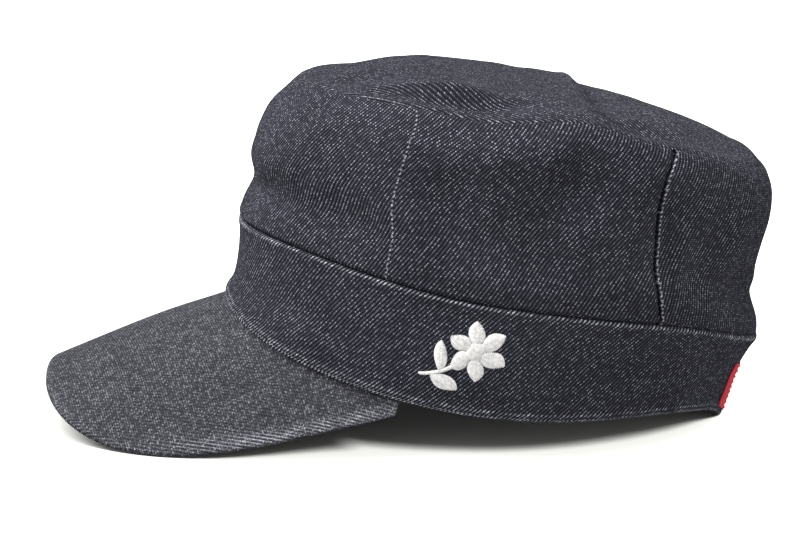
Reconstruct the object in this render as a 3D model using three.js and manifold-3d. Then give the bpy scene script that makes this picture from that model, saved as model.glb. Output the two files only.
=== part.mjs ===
// A denim work cap lying on a flat surface, in millimetres. The peak points to -X,
// the wearer's left side faces -Y, and +Z is up from the surface.
import * as THREE from "three";
import { mergeVertices } from "three/addons/utils/BufferGeometryUtils.js";
import Module from "manifold-3d";

const wasm = await Module();
wasm.setup();

// Walls of cloth, and the gap that pieces sewn together keep
const GAP = 0.35;
const BAND_WALL = 2.6;
const CROWN_WALL = 1.4;
const LABEL_WALL = 0.8;
const THREAD_WALL = 0.9;
// The turned-in cloth beside each upright seam of the crown, half the gap between its wall
// panels at their outer and inner faces, and the crown's edge inside the band
const ALLOWANCE = { columns: 1.5, thick: 1.2 };
const HALF_GAP = { outside: 0.175, inside: 0.5 };
const TUCK_DEPTH = 6;

// Heights of the sewn edges in even steps from the front centre, round either side, to the back
const HEM = [48.1, 41.3, 29.6, 18.4, 14.6, 10.2, 5.0];
const BAND_TOP = [79.5, 75.9, 59.7, 46.2, 32.8];
const TOP_SEAM = [134.2, 133, 124.9, 110.3, 100.2];
// Waves of those edges, in degrees round from the front centre, positive on the wearer's left
const HEM_WAVES = [{ round: 180, wide: 14, up: -7.6 }];
const SEAM_WAVES = [
  { round: 99, wide: 11, up: 3.7 },
  { round: 77, wide: 8, up: -1.2 },
  { round: -48, wide: 24, up: -1.8 },
  { round: -120, wide: 24, up: -1.4 },
];

// Plan outlines: rise is the share of the way up between two edges, square is 2 for an ellipse
const BAND_OUTLINES = [
  { rise: 0.0, front: -71.4, back: 123.6, half: 84.0, square: 2.15 },
  { rise: 0.25, front: -67.6, back: 126.4, half: 86.0, square: 2.15 },
  { rise: 0.6, front: -65.6, back: 130.4, half: 87.4, square: 2.15 },
  { rise: 1.0, front: -65.0, back: 138.2, half: 87.0, square: 2.15 },
];
const CROWN_OUTLINES = [
  { rise: 0.085, front: -64.2, back: 137.6, half: 87.6, square: 2.15 },
  { rise: 0.28, front: -59.8, back: 134.2, half: 86.6, square: 2.15 },
  { rise: 0.5, front: -60.2, back: 138.2, half: 86.0, square: 2.2 },
  { rise: 0.76, front: -53.8, back: 141.8, half: 83.0, square: 2.2 },
  { rise: 0.91, front: -46.0, back: 141.6, half: 78.6, square: 2.2 },
  { rise: 1.0, front: -40.7, back: 138.2, half: 73.0, square: 2.2 },
];

// Bulges (out above 0) and dents (out below 0) of the crown's wall. Round is in degrees from the
// front centre towards the wearer's left, up runs from the band to the top seam, wide is in
// degrees, tall in shares of up, and lean is in degrees round for each full share of up.
const WALL_FOLDS = [
  { round: 86, up: 0.84, wide: 13, tall: 0.13, lean: 0, out: 3.4 },
  { round: 79, up: 0.48, wide: 12, tall: 0.2, lean: -16, out: -3.4 },
  { round: 104, up: 0.74, wide: 7, tall: 0.2, lean: 12, out: -2.6 },
  { round: 113, up: 0.5, wide: 6, tall: 0.26, lean: 8, out: 1.6 },
  { round: 120, up: 0.24, wide: 12, tall: 0.12, lean: 0, out: 2.8 },
  { round: 124, up: 0.6, wide: 9, tall: 0.17, lean: 0, out: -3.2 },
  { round: 150, up: 0.66, wide: 12, tall: 0.2, lean: 10, out: 1.8 },
  { round: 158, up: 0.26, wide: 10, tall: 0.1, lean: 24, out: -1.8 },
  { round: 172, up: 0.33, wide: 12, tall: 0.07, lean: 0, out: 1.8 },
  { round: 54, up: 0.32, wide: 9, tall: 0.2, lean: -16, out: -2.2 },
  { round: 32, up: 0.6, wide: 14, tall: 0.24, lean: 0, out: 1.6 },
  { round: 18, up: 0.22, wide: 14, tall: 0.1, lean: 12, out: -1.2 },
  { round: -38, up: 0.34, wide: 14, tall: 0.2, lean: 10, out: -1.8 },
  { round: -84, up: 0.5, wide: 16, tall: 0.2, lean: 0, out: -2.6 },
  { round: -114, up: 0.68, wide: 13, tall: 0.22, lean: 0, out: -1.6 },
  { round: -156, up: 0.34, wide: 12, tall: 0.16, lean: 0, out: -1.6 },
];

// The top panel along its middle without its puffed part, then that part, which ends in a step
const TOP_MIDDLE = [
  { x: -40.7, z: 134.2 },
  { x: -10, z: 133.4 },
  { x: 35, z: 129.6 },
  { x: 71.5, z: 124.0 },
  { x: 94.9, z: 118.8 },
  { x: 114.6, z: 112.4 },
  { x: 131.3, z: 105.8 },
  { x: 138.2, z: 100.2 },
];
const PUFF = { high: 3.2, rises: 40, step: 69, bow: 0.0018, soft: 4.5 };
const TOP_FLATNESS = 2.2;
// Folds of the top panel: half-lengths in millimetres, turn in degrees from +X
const TOP_FOLDS = [
  { x: 20, y: -59, long: 22, across: 6, turn: -3, up: -4.6 },
  { x: 12, y: -43, long: 22, across: 7, turn: -4, up: 2.4 },
  { x: 48, y: -44, long: 16, across: 7, turn: -28, up: 1.6 },
  { x: -22, y: -18, long: 26, across: 5, turn: 50, up: 1.4 },
  { x: -14, y: -26, long: 22, across: 6, turn: 50, up: -1.6 },
  { x: 96, y: -22, long: 26, across: 8, turn: 12, up: 1.8 },
  { x: 104, y: 22, long: 22, across: 12, turn: -10, up: -1.8 },
  { x: 10, y: 34, long: 14, across: 30, turn: 0, up: 1.3 },
  { x: 44, y: 40, long: 18, across: 26, turn: 0, up: -1.1 },
  { x: -18, y: 30, long: 12, across: 22, turn: 0, up: -0.6 },
];

// Where the crown's wall panels meet, in degrees round, in even steps from inside the band to
// the top seam
const FORE_SEAM = [66.2, 66.2, 66.1, 65.6, 62.3];
const AFT_SEAM = [122, 122.4, 121.2, 118.8, 122];

// The peak: a board bent round an arch that slopes down to the front, cut to a rounded crescent.
// The crest is where the arch meets the front of the hem, ends is where the crescent ends, fade
// is how far from the hem the board bends to meet it, and taper thins it towards its ends.
const DEGREE = Math.PI / 180;
const PEAK = {
  arch: 88.5,
  slope: 22.7 * DEGREE,
  crestX: -72.5,
  crestZ: 48.1,
  ends: 74 * DEGREE,
  reach: 150.6,
  halfWidth: 101.8,
  square: 2.42,
  corner: 1.0,
  tuck: 1.8,
  tuckAtEnds: 0.4,
  fade: 24,
  thick: 3.2,
  rim: 0.62,
  taper: 0.6,
};

// The woven label on the band at the back centre, in degrees round and shares of the band's height
const LABEL = { from: 162, to: 198, low: 0.1, high: 0.66 };

// The white embroidered sprig on the band's left side: the middle of its flower and its lean,
// then its flower, stem and leaves in millimetres across and up from that middle. Leaves grow
// from a share of the way down the stem.
const SPRIG = { round: 86.5, up: 0.6, turn: -50 * DEGREE };
const FLOWER = { petals: 6, petalLong: 9.6, petalWide: 6.2, fromCentre: 6.4, centre: 3.6 };
const STEM = { from: [0, -2], bend: [1.7, -13.6], to: [-3.4, -23], width: 1.6 };
const LEAVES = [
  { on: 0.8, long: 12.6, wide: 6, turn: 30 * DEGREE },
  { on: 0.62, long: 11.4, wide: 5.5, turn: 146 * DEGREE },
];

// Steps of the meshes
const STEPS_ROUND = 72;
const STEPS_UP = 14;
const PANEL_STEP = 5;
const PEAK_STEPS = 44;
const PEAK_ROWS = 7;
const CURVE_STEPS = 12;
const SLOPE_STEP = 0.01;
const TINY = 1e-3;

const DENIM = { color: 0x2e2f3a, roughness: 0.9, metalness: 0 };
const PEAK_DENIM = { color: 0x3a3c47, roughness: 0.9, metalness: 0 };
const RED_TAPE = { color: 0xb2343a, roughness: 0.7, metalness: 0 };
const WHITE_THREAD = { color: 0xf2f1ea, roughness: 0.6, metalness: 0 };

const { lerp: mix, clamp, smoothstep, euclideanModulo } = THREE.MathUtils;
const bell = (x) => Math.exp(-x * x);
const powered = (value, power) => Math.sign(value) * Math.abs(value) ** power;
const smoothCurve = (points) => new THREE.CatmullRomCurve3(points, false, "catmullrom");

const degreesApart = (a, b) => euclideanModulo(a - b + 180, 360) - 180;

// A smooth height round the cap through evenly spaced values, alike on both sides but for its waves
function edgeHeight(heights, waves = []) {
  const last = heights.length - 1;
  const half = (k) => (k === 0 || k === last ? 0.5 : 1);
  const sizes = heights.map((_, k) =>
    heights.reduce((sum, z, j) => sum + half(j) * z * Math.cos((k * j * Math.PI) / last), 0),
  );
  return (angle) => {
    const even = sizes.reduce((z, size, k) => z + (2 / last) * half(k) * size * Math.cos(k * angle), 0);
    const wave = ({ round, wide, up }) => up * bell(degreesApart(angle / DEGREE, round) / wide);
    return waves.reduce((z, each) => z + wave(each), even);
  };
}

const hemHeight = edgeHeight(HEM, HEM_WAVES);
const bandTopHeight = edgeHeight(BAND_TOP);
const topSeamHeight = edgeHeight(TOP_SEAM, SEAM_WAVES);

function onOutline({ front, back, half, square }, angle, z) {
  const power = 2 / square;
  const x = (front + back) / 2 - ((back - front) / 2) * powered(Math.cos(angle), power);
  return new THREE.Vector3(x, -half * powered(Math.sin(angle), power), z);
}

// The upright section through the outlines between two edges, at one angle
function sectionPoints(outlines, low, high, angle) {
  return outlines.map((row) => onOutline(row, angle, mix(low(angle), high(angle), row.rise)));
}

// The outer face of the band, with up from 0 at the hem to 1 at its top edge
function bandFace(angle, up) {
  const curve = smoothCurve(sectionPoints(BAND_OUTLINES, hemHeight, bandTopHeight, angle));
  const rises = BAND_OUTLINES.map((row) => row.rise);
  const next = Math.max(1, rises.findIndex((rise) => rise >= up));
  const share = (up - rises[next - 1]) / (rises[next] - rises[next - 1]);
  return curve.getPoint((next - 1 + share) / (rises.length - 1));
}

// The direction that a wall looks in, where face(angle, up) runs anticlockwise seen from above
function facing(face, angle, up) {
  const round = face(angle + SLOPE_STEP, up).sub(face(angle - SLOPE_STEP, up));
  const high = clamp(up + SLOPE_STEP, 2 * SLOPE_STEP, 1);
  const rise = face(angle, high).sub(face(angle, high - 2 * SLOPE_STEP));
  return round.cross(rise).normalize();
}

// Millimetres round a wall for each radian
function perRadian(face, angle, up) {
  return face(angle + SLOPE_STEP, up).distanceTo(face(angle - SLOPE_STEP, up)) / (2 * SLOPE_STEP);
}

const offBand = (angle, up, out) => bandFace(angle, up).addScaledVector(facing(bandFace, angle, up), out);

function wallFold(angle, up) {
  const quiet = smoothstep(Math.min(up, 1 - up), 0, 0.12);
  return WALL_FOLDS.reduce((sum, { round, up: middle, wide, tall, lean, out }) => {
    const away = degreesApart(angle / DEGREE, round + lean * (up - middle));
    return sum + quiet * out * bell(away / wide) * bell((up - middle) / tall);
  }, 0);
}

// The outer face of the crown's wall, with climb from 0 inside the band to 1 at the top seam
function crownFace(angle, climb) {
  const low = bandTopHeight(angle);
  const high = topSeamHeight(angle);
  const tucked = 1 - TUCK_DEPTH / (low - hemHeight(angle));
  const inside = -(BAND_WALL + GAP);
  const points = [offBand(angle, tucked, inside), offBand(angle, 1, inside)];
  points.push(...sectionPoints(CROWN_OUTLINES, bandTopHeight, topSeamHeight, angle));
  const point = smoothCurve(points).getPoint(climb);
  const out = wallFold(angle, clamp((point.z - low) / (high - low), 0, 1));
  return point.add(new THREE.Vector3(-Math.cos(angle), -Math.sin(angle), 0).multiplyScalar(out));
}

const topMiddle = smoothCurve(TOP_MIDDLE.map(({ x, z }) => new THREE.Vector3(x, 0, z)));
const topMiddleLine = topMiddle.getPoints(200);

function topMiddleHeight(x) {
  const found = topMiddleLine.findIndex((point) => point.x >= x);
  const after = found < 1 ? (x < 0 ? 1 : topMiddleLine.length - 1) : found;
  const [a, b] = [topMiddleLine[after - 1], topMiddleLine[after]];
  return mix(a.z, b.z, clamp((x - a.x) / (b.x - a.x), 0, 1));
}

function topFold(x, y) {
  return TOP_FOLDS.reduce((sum, fold) => {
    const [cos, sin] = [Math.cos(fold.turn * DEGREE), Math.sin(fold.turn * DEGREE)];
    const along = (x - fold.x) * cos + (y - fold.y) * sin;
    const across = (y - fold.y) * cos - (x - fold.x) * sin;
    return sum + fold.up * bell(along / fold.long) * bell(across / fold.across);
  }, 0);
}

// The outer face of the top panel, with out from 0 at its middle to 1 at the top seam
function topFace(angle, out) {
  const edge = crownFace(angle, 1);
  const { front, back } = CROWN_OUTLINES.at(-1);
  const x = mix((front + back) / 2, edge.x, out);
  const y = edge.y * out;
  const step = PUFF.step + PUFF.bow * Math.min(y, 0) ** 2;
  const ahead = 1 - smoothstep(x, step - PUFF.soft, step + PUFF.soft);
  const puff = PUFF.high * ahead * smoothstep(x - front, 0, PUFF.rises);
  const rim = (edge.z - topMiddleHeight(edge.x)) * out ** TOP_FLATNESS;
  const raised = (puff + topFold(x, y)) * smoothstep(1 - out, 0, 0.16);
  return new THREE.Vector3(x, y, topMiddleHeight(x) + rim + raised);
}

function topFacing(angle, out) {
  const near = Math.max(out, 4 * SLOPE_STEP);
  const round = topFace(angle + SLOPE_STEP, near).sub(topFace(angle - SLOPE_STEP, near));
  const inwards = topFace(angle, near - 2 * SLOPE_STEP).sub(topFace(angle, near));
  return round.cross(inwards).normalize();
}

// Where wall and top panel meet at the top seam: the cut's outer and inner edge, and the
// direction across it towards the top panel
function topCut(angle) {
  const outer = crownFace(angle, 1);
  const wall = facing(crownFace, angle, 1);
  const top = topFacing(angle, 1);
  const depth = -CROWN_WALL / (1 + wall.dot(top));
  const inner = wall.clone().add(top).multiplyScalar(depth).add(outer);
  return { outer, inner, across: top.sub(wall).normalize() };
}

// A solid in its own colour, bent to shape: place maps each point of its blank
function bent(name, blank, look, place) {
  const positions = blank.getAttribute("position");
  for (let i = 0; i < positions.count; i += 1) {
    const point = place(positions.getX(i), positions.getY(i), positions.getZ(i));
    positions.setXYZ(i, point.x, point.y, Math.max(0, point.z));
  }
  blank.deleteAttribute("normal");
  blank.deleteAttribute("uv");
  const geometry = mergeVertices(blank, TINY).toNonIndexed();
  geometry.computeVertexNormals();
  const mesh = new THREE.Mesh(geometry, new THREE.MeshStandardMaterial(look));
  mesh.name = name;
  return mesh;
}

// The band's section in shares of its wall and its height, up the outside and down the inside,
// turned as a ring blank of radius 1 to 2
function makeBand() {
  const outside = [[1.8, 0], [2, 0.03], [2, 0.14], [2, 0.35], [2, 0.65], [2, 0.97], [1.8, 1]];
  const inside = [[1.2, 1], [1, 0.97], [1, 0.65], [1, 0.35], [1, 0.03], [1.2, 0], [1.8, 0]];
  const section = [...outside, ...inside].map(([radius, up]) => new THREE.Vector2(radius, up));
  const blank = new THREE.LatheGeometry(section, STEPS_ROUND);
  return bent("band", blank, DENIM, (x, up, z) =>
    offBand(Math.atan2(x, z), up, (Math.hypot(x, z) - 2) * BAND_WALL),
  );
}

// The angle of a seam at a climb
function seamAngle(seam, climb) {
  const steps = seam.map((degrees) => new THREE.Vector3(degrees, 0, 0));
  return smoothCurve(steps).getPoint(climb).x * DEGREE;
}

// A wall panel of the crown from one seam to the next, thicker inside along both
function makePanel(name, from, to) {
  const columns = Math.round(Math.abs(to[0] - from[0]) / PANEL_STEP);
  const blank = new THREE.BoxGeometry(1, 1, 1, columns, STEPS_UP, 1).translate(0.5, 0.5, 0.5);
  return bent(name, blank, DENIM, (share, climb, depth) => {
    const start = seamAngle(from, climb);
    const end = seamAngle(to, climb);
    const halfGap = mix(HALF_GAP.inside, HALF_GAP.outside, depth);
    const inset = halfGap / perRadian(crownFace, mix(start, end, share), climb);
    const angle = mix(start + inset, end - inset, share);
    if (climb === 1) {
      const { outer, inner, across } = topCut(angle);
      return inner.lerp(outer, depth).addScaledVector(across, -GAP / 2);
    }
    const atSeam = Math.min(share, 1 - share) * columns < ALLOWANCE.columns;
    const wall = CROWN_WALL + (atSeam ? ALLOWANCE.thick : 0);
    const outwards = facing(crownFace, angle, climb);
    return crownFace(angle, climb).addScaledVector(outwards, (depth - 1) * wall);
  });
}

function makeTop() {
  const outs = [0, 0.2, 0.42, 0.62, 0.78, 0.9, 0.965, 1];
  const below = outs.map((out) => new THREE.Vector2(out, 0));
  const above = outs.map((out) => new THREE.Vector2(out, 1)).reverse();
  const blank = new THREE.LatheGeometry([...below, ...above], STEPS_ROUND);
  return bent("crown_top", blank, DENIM, (x, height, z) => {
    const out = Math.hypot(x, z);
    const angle = out < TINY ? 0 : Math.atan2(x, z);
    if (out > 1 - TINY) {
      const { outer, inner, across } = topCut(angle);
      return inner.lerp(outer, height).addScaledVector(across, GAP / 2);
    }
    return topFace(angle, out).addScaledVector(topFacing(angle, out), (height - 1) * CROWN_WALL);
  });
}

function archHeight(x, y) {
  const sag = PEAK.arch - Math.sqrt(PEAK.arch ** 2 - y ** 2);
  return PEAK.crestZ + Math.tan(PEAK.slope) * (x - PEAK.crestX) - sag;
}

// The peak's upper face, with share from -1 at one end to 1 at the other and out from 0 under
// the hem to 1 at the free edge. The crescent is drawn with the board rolled out flat.
function peakFace(share, out) {
  const angle = -share * PEAK.ends;
  const hem = offBand(angle, 0, -mix(PEAK.tuck, PEAK.tuckAtEnds, share ** 4));
  const innerRound = PEAK.arch * Math.asin(hem.y / PEAK.arch);
  const innerDown = (PEAK.crestX - hem.x) / Math.cos(PEAK.slope);
  const turn = share * (Math.PI / 2);
  const power = 2 / PEAK.square;
  const start = (PEAK.crestX - bandFace(PEAK.ends, 0).x) / Math.cos(PEAK.slope) + PEAK.corner;
  const outerRound = PEAK.halfWidth * powered(Math.sin(turn), power);
  const outerDown = start + (PEAK.reach - PEAK.corner) * powered(Math.cos(turn), power);
  const x = PEAK.crestX - mix(innerDown, outerDown, out) * Math.cos(PEAK.slope);
  const y = PEAK.arch * Math.sin(mix(innerRound, outerRound, out) / PEAK.arch);
  const fromHem = out * Math.hypot(outerRound - innerRound, outerDown - innerDown);
  const toHem = (hem.z - GAP - archHeight(hem.x, hem.y)) * bell(fromHem / PEAK.fade);
  return new THREE.Vector3(x, y, archHeight(x, y) + toHem);
}

function makePeak() {
  const blank = new THREE.BoxGeometry(2, 1, 1, PEAK_STEPS, PEAK_ROWS, 1).translate(0, 0.5, 0.5);
  return bent("peak", blank, PEAK_DENIM, (share, out, height) => {
    const inside = clamp(out, SLOPE_STEP, 1 - SLOPE_STEP);
    const within = clamp(share, SLOPE_STEP - 1, 1 - SLOPE_STEP);
    const along = peakFace(within + SLOPE_STEP, inside).sub(peakFace(within - SLOPE_STEP, inside));
    const down = peakFace(within, inside + SLOPE_STEP).sub(peakFace(within, inside - SLOPE_STEP));
    const pinch = out === 1 ? (1 - PEAK.rim) / 2 : 0;
    const thick = PEAK.thick * (1 - PEAK.taper * Math.abs(share) ** 6);
    const depth = thick * mix(1 - pinch, pinch, height);
    return peakFace(share, out).addScaledVector(along.cross(down).normalize(), -depth);
  });
}

function makeLabel() {
  const columns = Math.round((LABEL.to - LABEL.from) / PANEL_STEP);
  const blank = new THREE.BoxGeometry(1, 1, 1, columns, 2, 1).translate(0.5, 0.5, 0.5);
  return bent("label", blank, RED_TAPE, (share, up, height) => {
    const angle = mix(LABEL.from, LABEL.to, share) * DEGREE;
    return offBand(angle, mix(LABEL.low, LABEL.high, up), GAP + height * LABEL_WALL);
  });
}

function leafShape(long, wide) {
  const shape = new THREE.Shape();
  shape.moveTo(-long / 2, 0);
  shape.quadraticCurveTo(0, -wide, long / 2, 0);
  shape.quadraticCurveTo(0, wide, -long / 2, 0);
  return shape;
}

const stemPoints = [STEM.from, STEM.bend, STEM.to].map((at) => new THREE.Vector2(...at));
const stemCurve = new THREE.QuadraticBezierCurve(...stemPoints);

function stemShape() {
  const points = stemCurve.getPoints(CURVE_STEPS);
  const left = points.map(({ x, y }) => new THREE.Vector2(x - STEM.width / 2, y));
  const right = points.map(({ x, y }) => new THREE.Vector2(x + STEM.width / 2, y));
  return new THREE.Shape([...left, ...right.reverse()]);
}

function asSolid(geometry) {
  geometry.deleteAttribute("normal");
  geometry.deleteAttribute("uv");
  const merged = mergeVertices(geometry, TINY);
  const vertProperties = merged.getAttribute("position").array;
  const triVerts = new Uint32Array(merged.index.array);
  return new wasm.Manifold(new wasm.Mesh({ numProp: 3, vertProperties, triVerts }));
}

// The sprig as one flat piece of stitching, before it is laid on the band
function sprigBlank() {
  const options = { depth: 1, bevelEnabled: false, curveSegments: CURVE_STEPS };
  const cut = (shape, turn, x, y) =>
    asSolid(new THREE.ExtrudeGeometry(shape, options).rotateZ(turn).translate(x, y, 0));
  const disc = new THREE.Shape().absarc(0, 0, FLOWER.centre, 0, 2 * Math.PI);
  const pieces = [cut(disc, 0, 0, 0), cut(stemShape(), 0, 0, 0)];
  for (let k = 0; k < FLOWER.petals; k += 1) {
    const turn = ((k + 0.5) * 2 * Math.PI) / FLOWER.petals;
    const [x, y] = [FLOWER.fromCentre * Math.cos(turn), FLOWER.fromCentre * Math.sin(turn)];
    pieces.push(cut(leafShape(FLOWER.petalLong, FLOWER.petalWide), turn, x, y));
  }
  LEAVES.forEach(({ on, long, wide, turn }) => {
    const foot = stemCurve.getPoint(on);
    const [x, y] = [foot.x + (long / 2) * Math.cos(turn), foot.y + (long / 2) * Math.sin(turn)];
    pieces.push(cut(leafShape(long, wide), turn, x, y));
  });
  const { vertProperties, triVerts } = pieces.reduce((whole, piece) => whole.add(piece)).getMesh();
  const geometry = new THREE.BufferGeometry();
  geometry.setAttribute("position", new THREE.BufferAttribute(vertProperties, 3));
  return geometry.setIndex(new THREE.BufferAttribute(triVerts, 1));
}

function makeEmbroidery() {
  const middle = SPRIG.round * DEGREE;
  const round = perRadian(bandFace, middle, SPRIG.up);
  const tall = bandTopHeight(middle) - hemHeight(middle);
  const [cos, sin] = [Math.cos(SPRIG.turn), Math.sin(SPRIG.turn)];
  return bent("embroidery", sprigBlank(), WHITE_THREAD, (x, y, height) => {
    const [across, above] = [x * cos - y * sin, x * sin + y * cos];
    return offBand(middle + across / round, SPRIG.up + above / tall, GAP + height * THREAD_WALL);
  });
}

const mirrored = (seam) => seam.map((degrees) => -degrees);
const roundTheBack = (seam) => seam.map((degrees) => 360 - degrees);

const cap = new THREE.Group();
cap.add(makePanel("crown_front", mirrored(FORE_SEAM), FORE_SEAM));
cap.add(makePanel("crown_left", FORE_SEAM, AFT_SEAM));
cap.add(makePanel("crown_back", AFT_SEAM, roundTheBack(AFT_SEAM)));
cap.add(makePanel("crown_right", mirrored(AFT_SEAM), mirrored(FORE_SEAM)));
cap.add(makeTop(), makeBand(), makePeak(), makeLabel(), makeEmbroidery());

// The origin is the middle of the footprint
const middle = new THREE.Box3().setFromObject(cap).getCenter(new THREE.Vector3());
cap.position.set(-middle.x, -middle.y, 0);

export default cap;
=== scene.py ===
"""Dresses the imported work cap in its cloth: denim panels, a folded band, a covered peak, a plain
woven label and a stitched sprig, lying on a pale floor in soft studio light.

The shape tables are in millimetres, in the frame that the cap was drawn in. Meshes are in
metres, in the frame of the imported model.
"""

import enum
import logging
import math
from collections.abc import Callable
from dataclasses import dataclass

import bpy
import numpy as np
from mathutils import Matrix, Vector


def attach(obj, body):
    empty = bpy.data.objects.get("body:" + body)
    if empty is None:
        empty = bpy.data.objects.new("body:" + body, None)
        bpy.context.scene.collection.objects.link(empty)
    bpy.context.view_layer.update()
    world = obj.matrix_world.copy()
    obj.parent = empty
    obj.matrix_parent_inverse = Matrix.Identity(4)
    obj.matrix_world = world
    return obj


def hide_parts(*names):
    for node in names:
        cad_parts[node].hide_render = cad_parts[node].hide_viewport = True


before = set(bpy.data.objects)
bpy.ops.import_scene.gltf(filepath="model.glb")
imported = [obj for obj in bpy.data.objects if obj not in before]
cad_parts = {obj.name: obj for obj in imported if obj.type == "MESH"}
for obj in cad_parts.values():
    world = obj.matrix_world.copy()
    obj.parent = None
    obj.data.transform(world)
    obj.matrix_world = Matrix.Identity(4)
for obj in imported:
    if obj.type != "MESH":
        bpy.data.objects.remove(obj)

log = logging.getLogger("work_cap")

Array = np.ndarray
Face = Callable[[Array, Array], Array]
Colour = tuple[float, float, float]

MM = 0.001
DEGREE = math.pi / 180
# The middle of the footprint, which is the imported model's origin, in the drawing's millimetres
FOOTPRINT_MIDDLE = np.array((0.025, -0.572, 0.0))
# The step over which a slope is taken, in radians round or shares of the way up
SLOPE_STEP = 0.01
# How many pieces a line round the cap, and one along its top, are cut into to measure them
ROUND_CUTS = 720
MIDDLE_CUTS = 200
# The least length or share that counts, and the least that a direction is divided by
TINY = 1e-6
LEAST_LENGTH = 1e-9
# Edges sharper than this many degrees stay sharp, on sheets and on closed shells
SHEET_SHARP = 40
SHELL_SHARP = 60


@dataclass(frozen=True)
class Outline:
    """A plan outline of the wall: square is 2 for an ellipse, rise its share of the way up."""

    rise: float
    front: float
    back: float
    half: float
    square: float


@dataclass(frozen=True)
class Wave:
    """A local rise of a sewn edge, in degrees round from the front centre."""

    round: float
    wide: float
    up: float


@dataclass(frozen=True)
class WallFold:
    """A bulge (out above 0) or dent of a wall: degrees round, shares of its height, millimetres."""

    round: float
    up: float
    wide: float
    tall: float
    lean: float
    out: float


@dataclass(frozen=True)
class TopFold:
    """A fold of the top panel: half-lengths in millimetres, turned by degrees from +X."""

    x: float
    y: float
    long: float
    across: float
    turn: float
    up: float


@dataclass(frozen=True)
class Seam:
    """Where two wall panels meet: degrees round, in even steps from inside the band to the top."""

    turns: tuple[float, ...]

    def mirrored(self) -> "Seam":
        """The like seam on the other side."""
        return Seam(tuple(-turn for turn in self.turns))

    def round_the_back(self) -> "Seam":
        """The like seam on the other side, counted on past the back centre."""
        return Seam(tuple(360 - turn for turn in self.turns))

    def angle(self, climb: Array) -> Array:
        """The seam's angle at each climb, in radians."""
        lines = np.tile(np.array(self.turns, float)[:, None, None], (1, climb.size, 1))
        return smooth_curve(lines, climb)[:, 0] * DEGREE


def bell(x: Array) -> Array:
    """A smooth bump, 1 at 0."""
    return np.exp(-(x**2))


def powered(value: Array, power: float) -> Array:
    """A power that keeps the value's sign."""
    return np.sign(value) * np.abs(value) ** power


def mix(a: Array, b: Array, share: Array) -> Array:
    """The value at a share of the way from a to b."""
    return a + (b - a) * share


def smoothstep(x: Array, low: float, high: float) -> Array:
    """0 up to low, 1 from high on, and smooth between."""
    share = np.clip((x - low) / (high - low), 0, 1)
    return share * share * (3 - 2 * share)


def outwards(angle: Array) -> Array:
    """The level directions away from the cap's middle."""
    return np.stack((-np.cos(angle), -np.sin(angle), np.zeros_like(angle)), axis=-1)


def degrees_apart(a: Array, b: Array) -> Array:
    """How far round a lies from b, from -180 to 180."""
    return (a - b + 180) % 360 - 180


def folded_out(folds: tuple[WallFold, ...], angle: Array, up: Array) -> Array:
    """How far the folds of a wall stand out, by radians round and the share of its height.

    Args:
        folds: The folds.
        angle: Radians round.
        up: Shares of the height.

    Returns:
        Millimetres out.
    """
    total = np.zeros_like(up)
    for fold in folds:
        away = degrees_apart(angle / DEGREE, fold.round + fold.lean * (up - fold.up))
        total += fold.out * bell(away / fold.wide) * bell((up - fold.up) / fold.tall)
    return total


def folded_up(folds: tuple[TopFold, ...], x: Array, y: Array) -> Array:
    """How far the folds of the top panel stand up, by its place in millimetres.

    Args:
        folds: The folds.
        x: Millimetres from front to back.
        y: Millimetres across.

    Returns:
        Millimetres up.
    """
    total = np.zeros_like(x)
    for fold in folds:
        cos, sin = math.cos(fold.turn * DEGREE), math.sin(fold.turn * DEGREE)
        along = (x - fold.x) * cos + (y - fold.y) * sin
        across = (y - fold.y) * cos - (x - fold.x) * sin
        total += fold.up * bell(along / fold.long) * bell(across / fold.across)
    return total


def unit(vectors: Array) -> Array:
    """The vectors at length 1."""
    return vectors / np.maximum(np.linalg.norm(vectors, axis=-1, keepdims=True), LEAST_LENGTH)


def smooth_curve(points: Array, at: Array) -> Array:
    """Points on a Catmull-Rom curve.

    Args:
        points: The curve's own points, K rows of N points, one curve for each of the N.
        at: The place along each curve, from 0 to 1.

    Returns:
        One point for each of the N curves.
    """
    ends = (2 * points[:1] - points[1:2], 2 * points[-1:] - points[-2:-1])
    whole = np.concatenate((ends[0], points, ends[1]))
    place = np.clip(at, 0, 1) * (len(points) - 1)
    first = np.minimum(place.astype(int), len(points) - 2)
    each = np.arange(whole.shape[1])
    before, start, stop, after = (whole[first + step, each] for step in range(4))
    t = (place - first)[:, None]
    leave = (stop - before) / 2
    arrive = (after - start) / 2
    square = 3 * (stop - start) - 2 * leave - arrive
    cube = 2 * (start - stop) + leave + arrive
    return start + leave * t + square * t**2 + cube * t**3


@dataclass(frozen=True)
class SewnEdge:
    """The height of a sewn edge round the cap, alike on both sides but for its waves."""

    heights: tuple[float, ...]
    waves: tuple[Wave, ...] = ()

    def height(self, angle: Array) -> Array:
        """The edge's height at each angle round, in radians.

        Args:
            angle: Radians round.

        Returns:
            Millimetres up.
        """
        last = len(self.heights) - 1
        half = np.ones(last + 1)
        half[[0, last]] = 0.5
        steps = np.arange(last + 1)
        shares = np.cos(np.outer(steps, steps) * math.pi / last)
        sizes = shares @ (half * np.array(self.heights))
        level = np.cos(np.outer(angle, steps)) @ (2 / last * half * sizes)
        for wave in self.waves:
            level = level + wave.up * bell(degrees_apart(angle / DEGREE, wave.round) / wave.wide)
        return level


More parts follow.
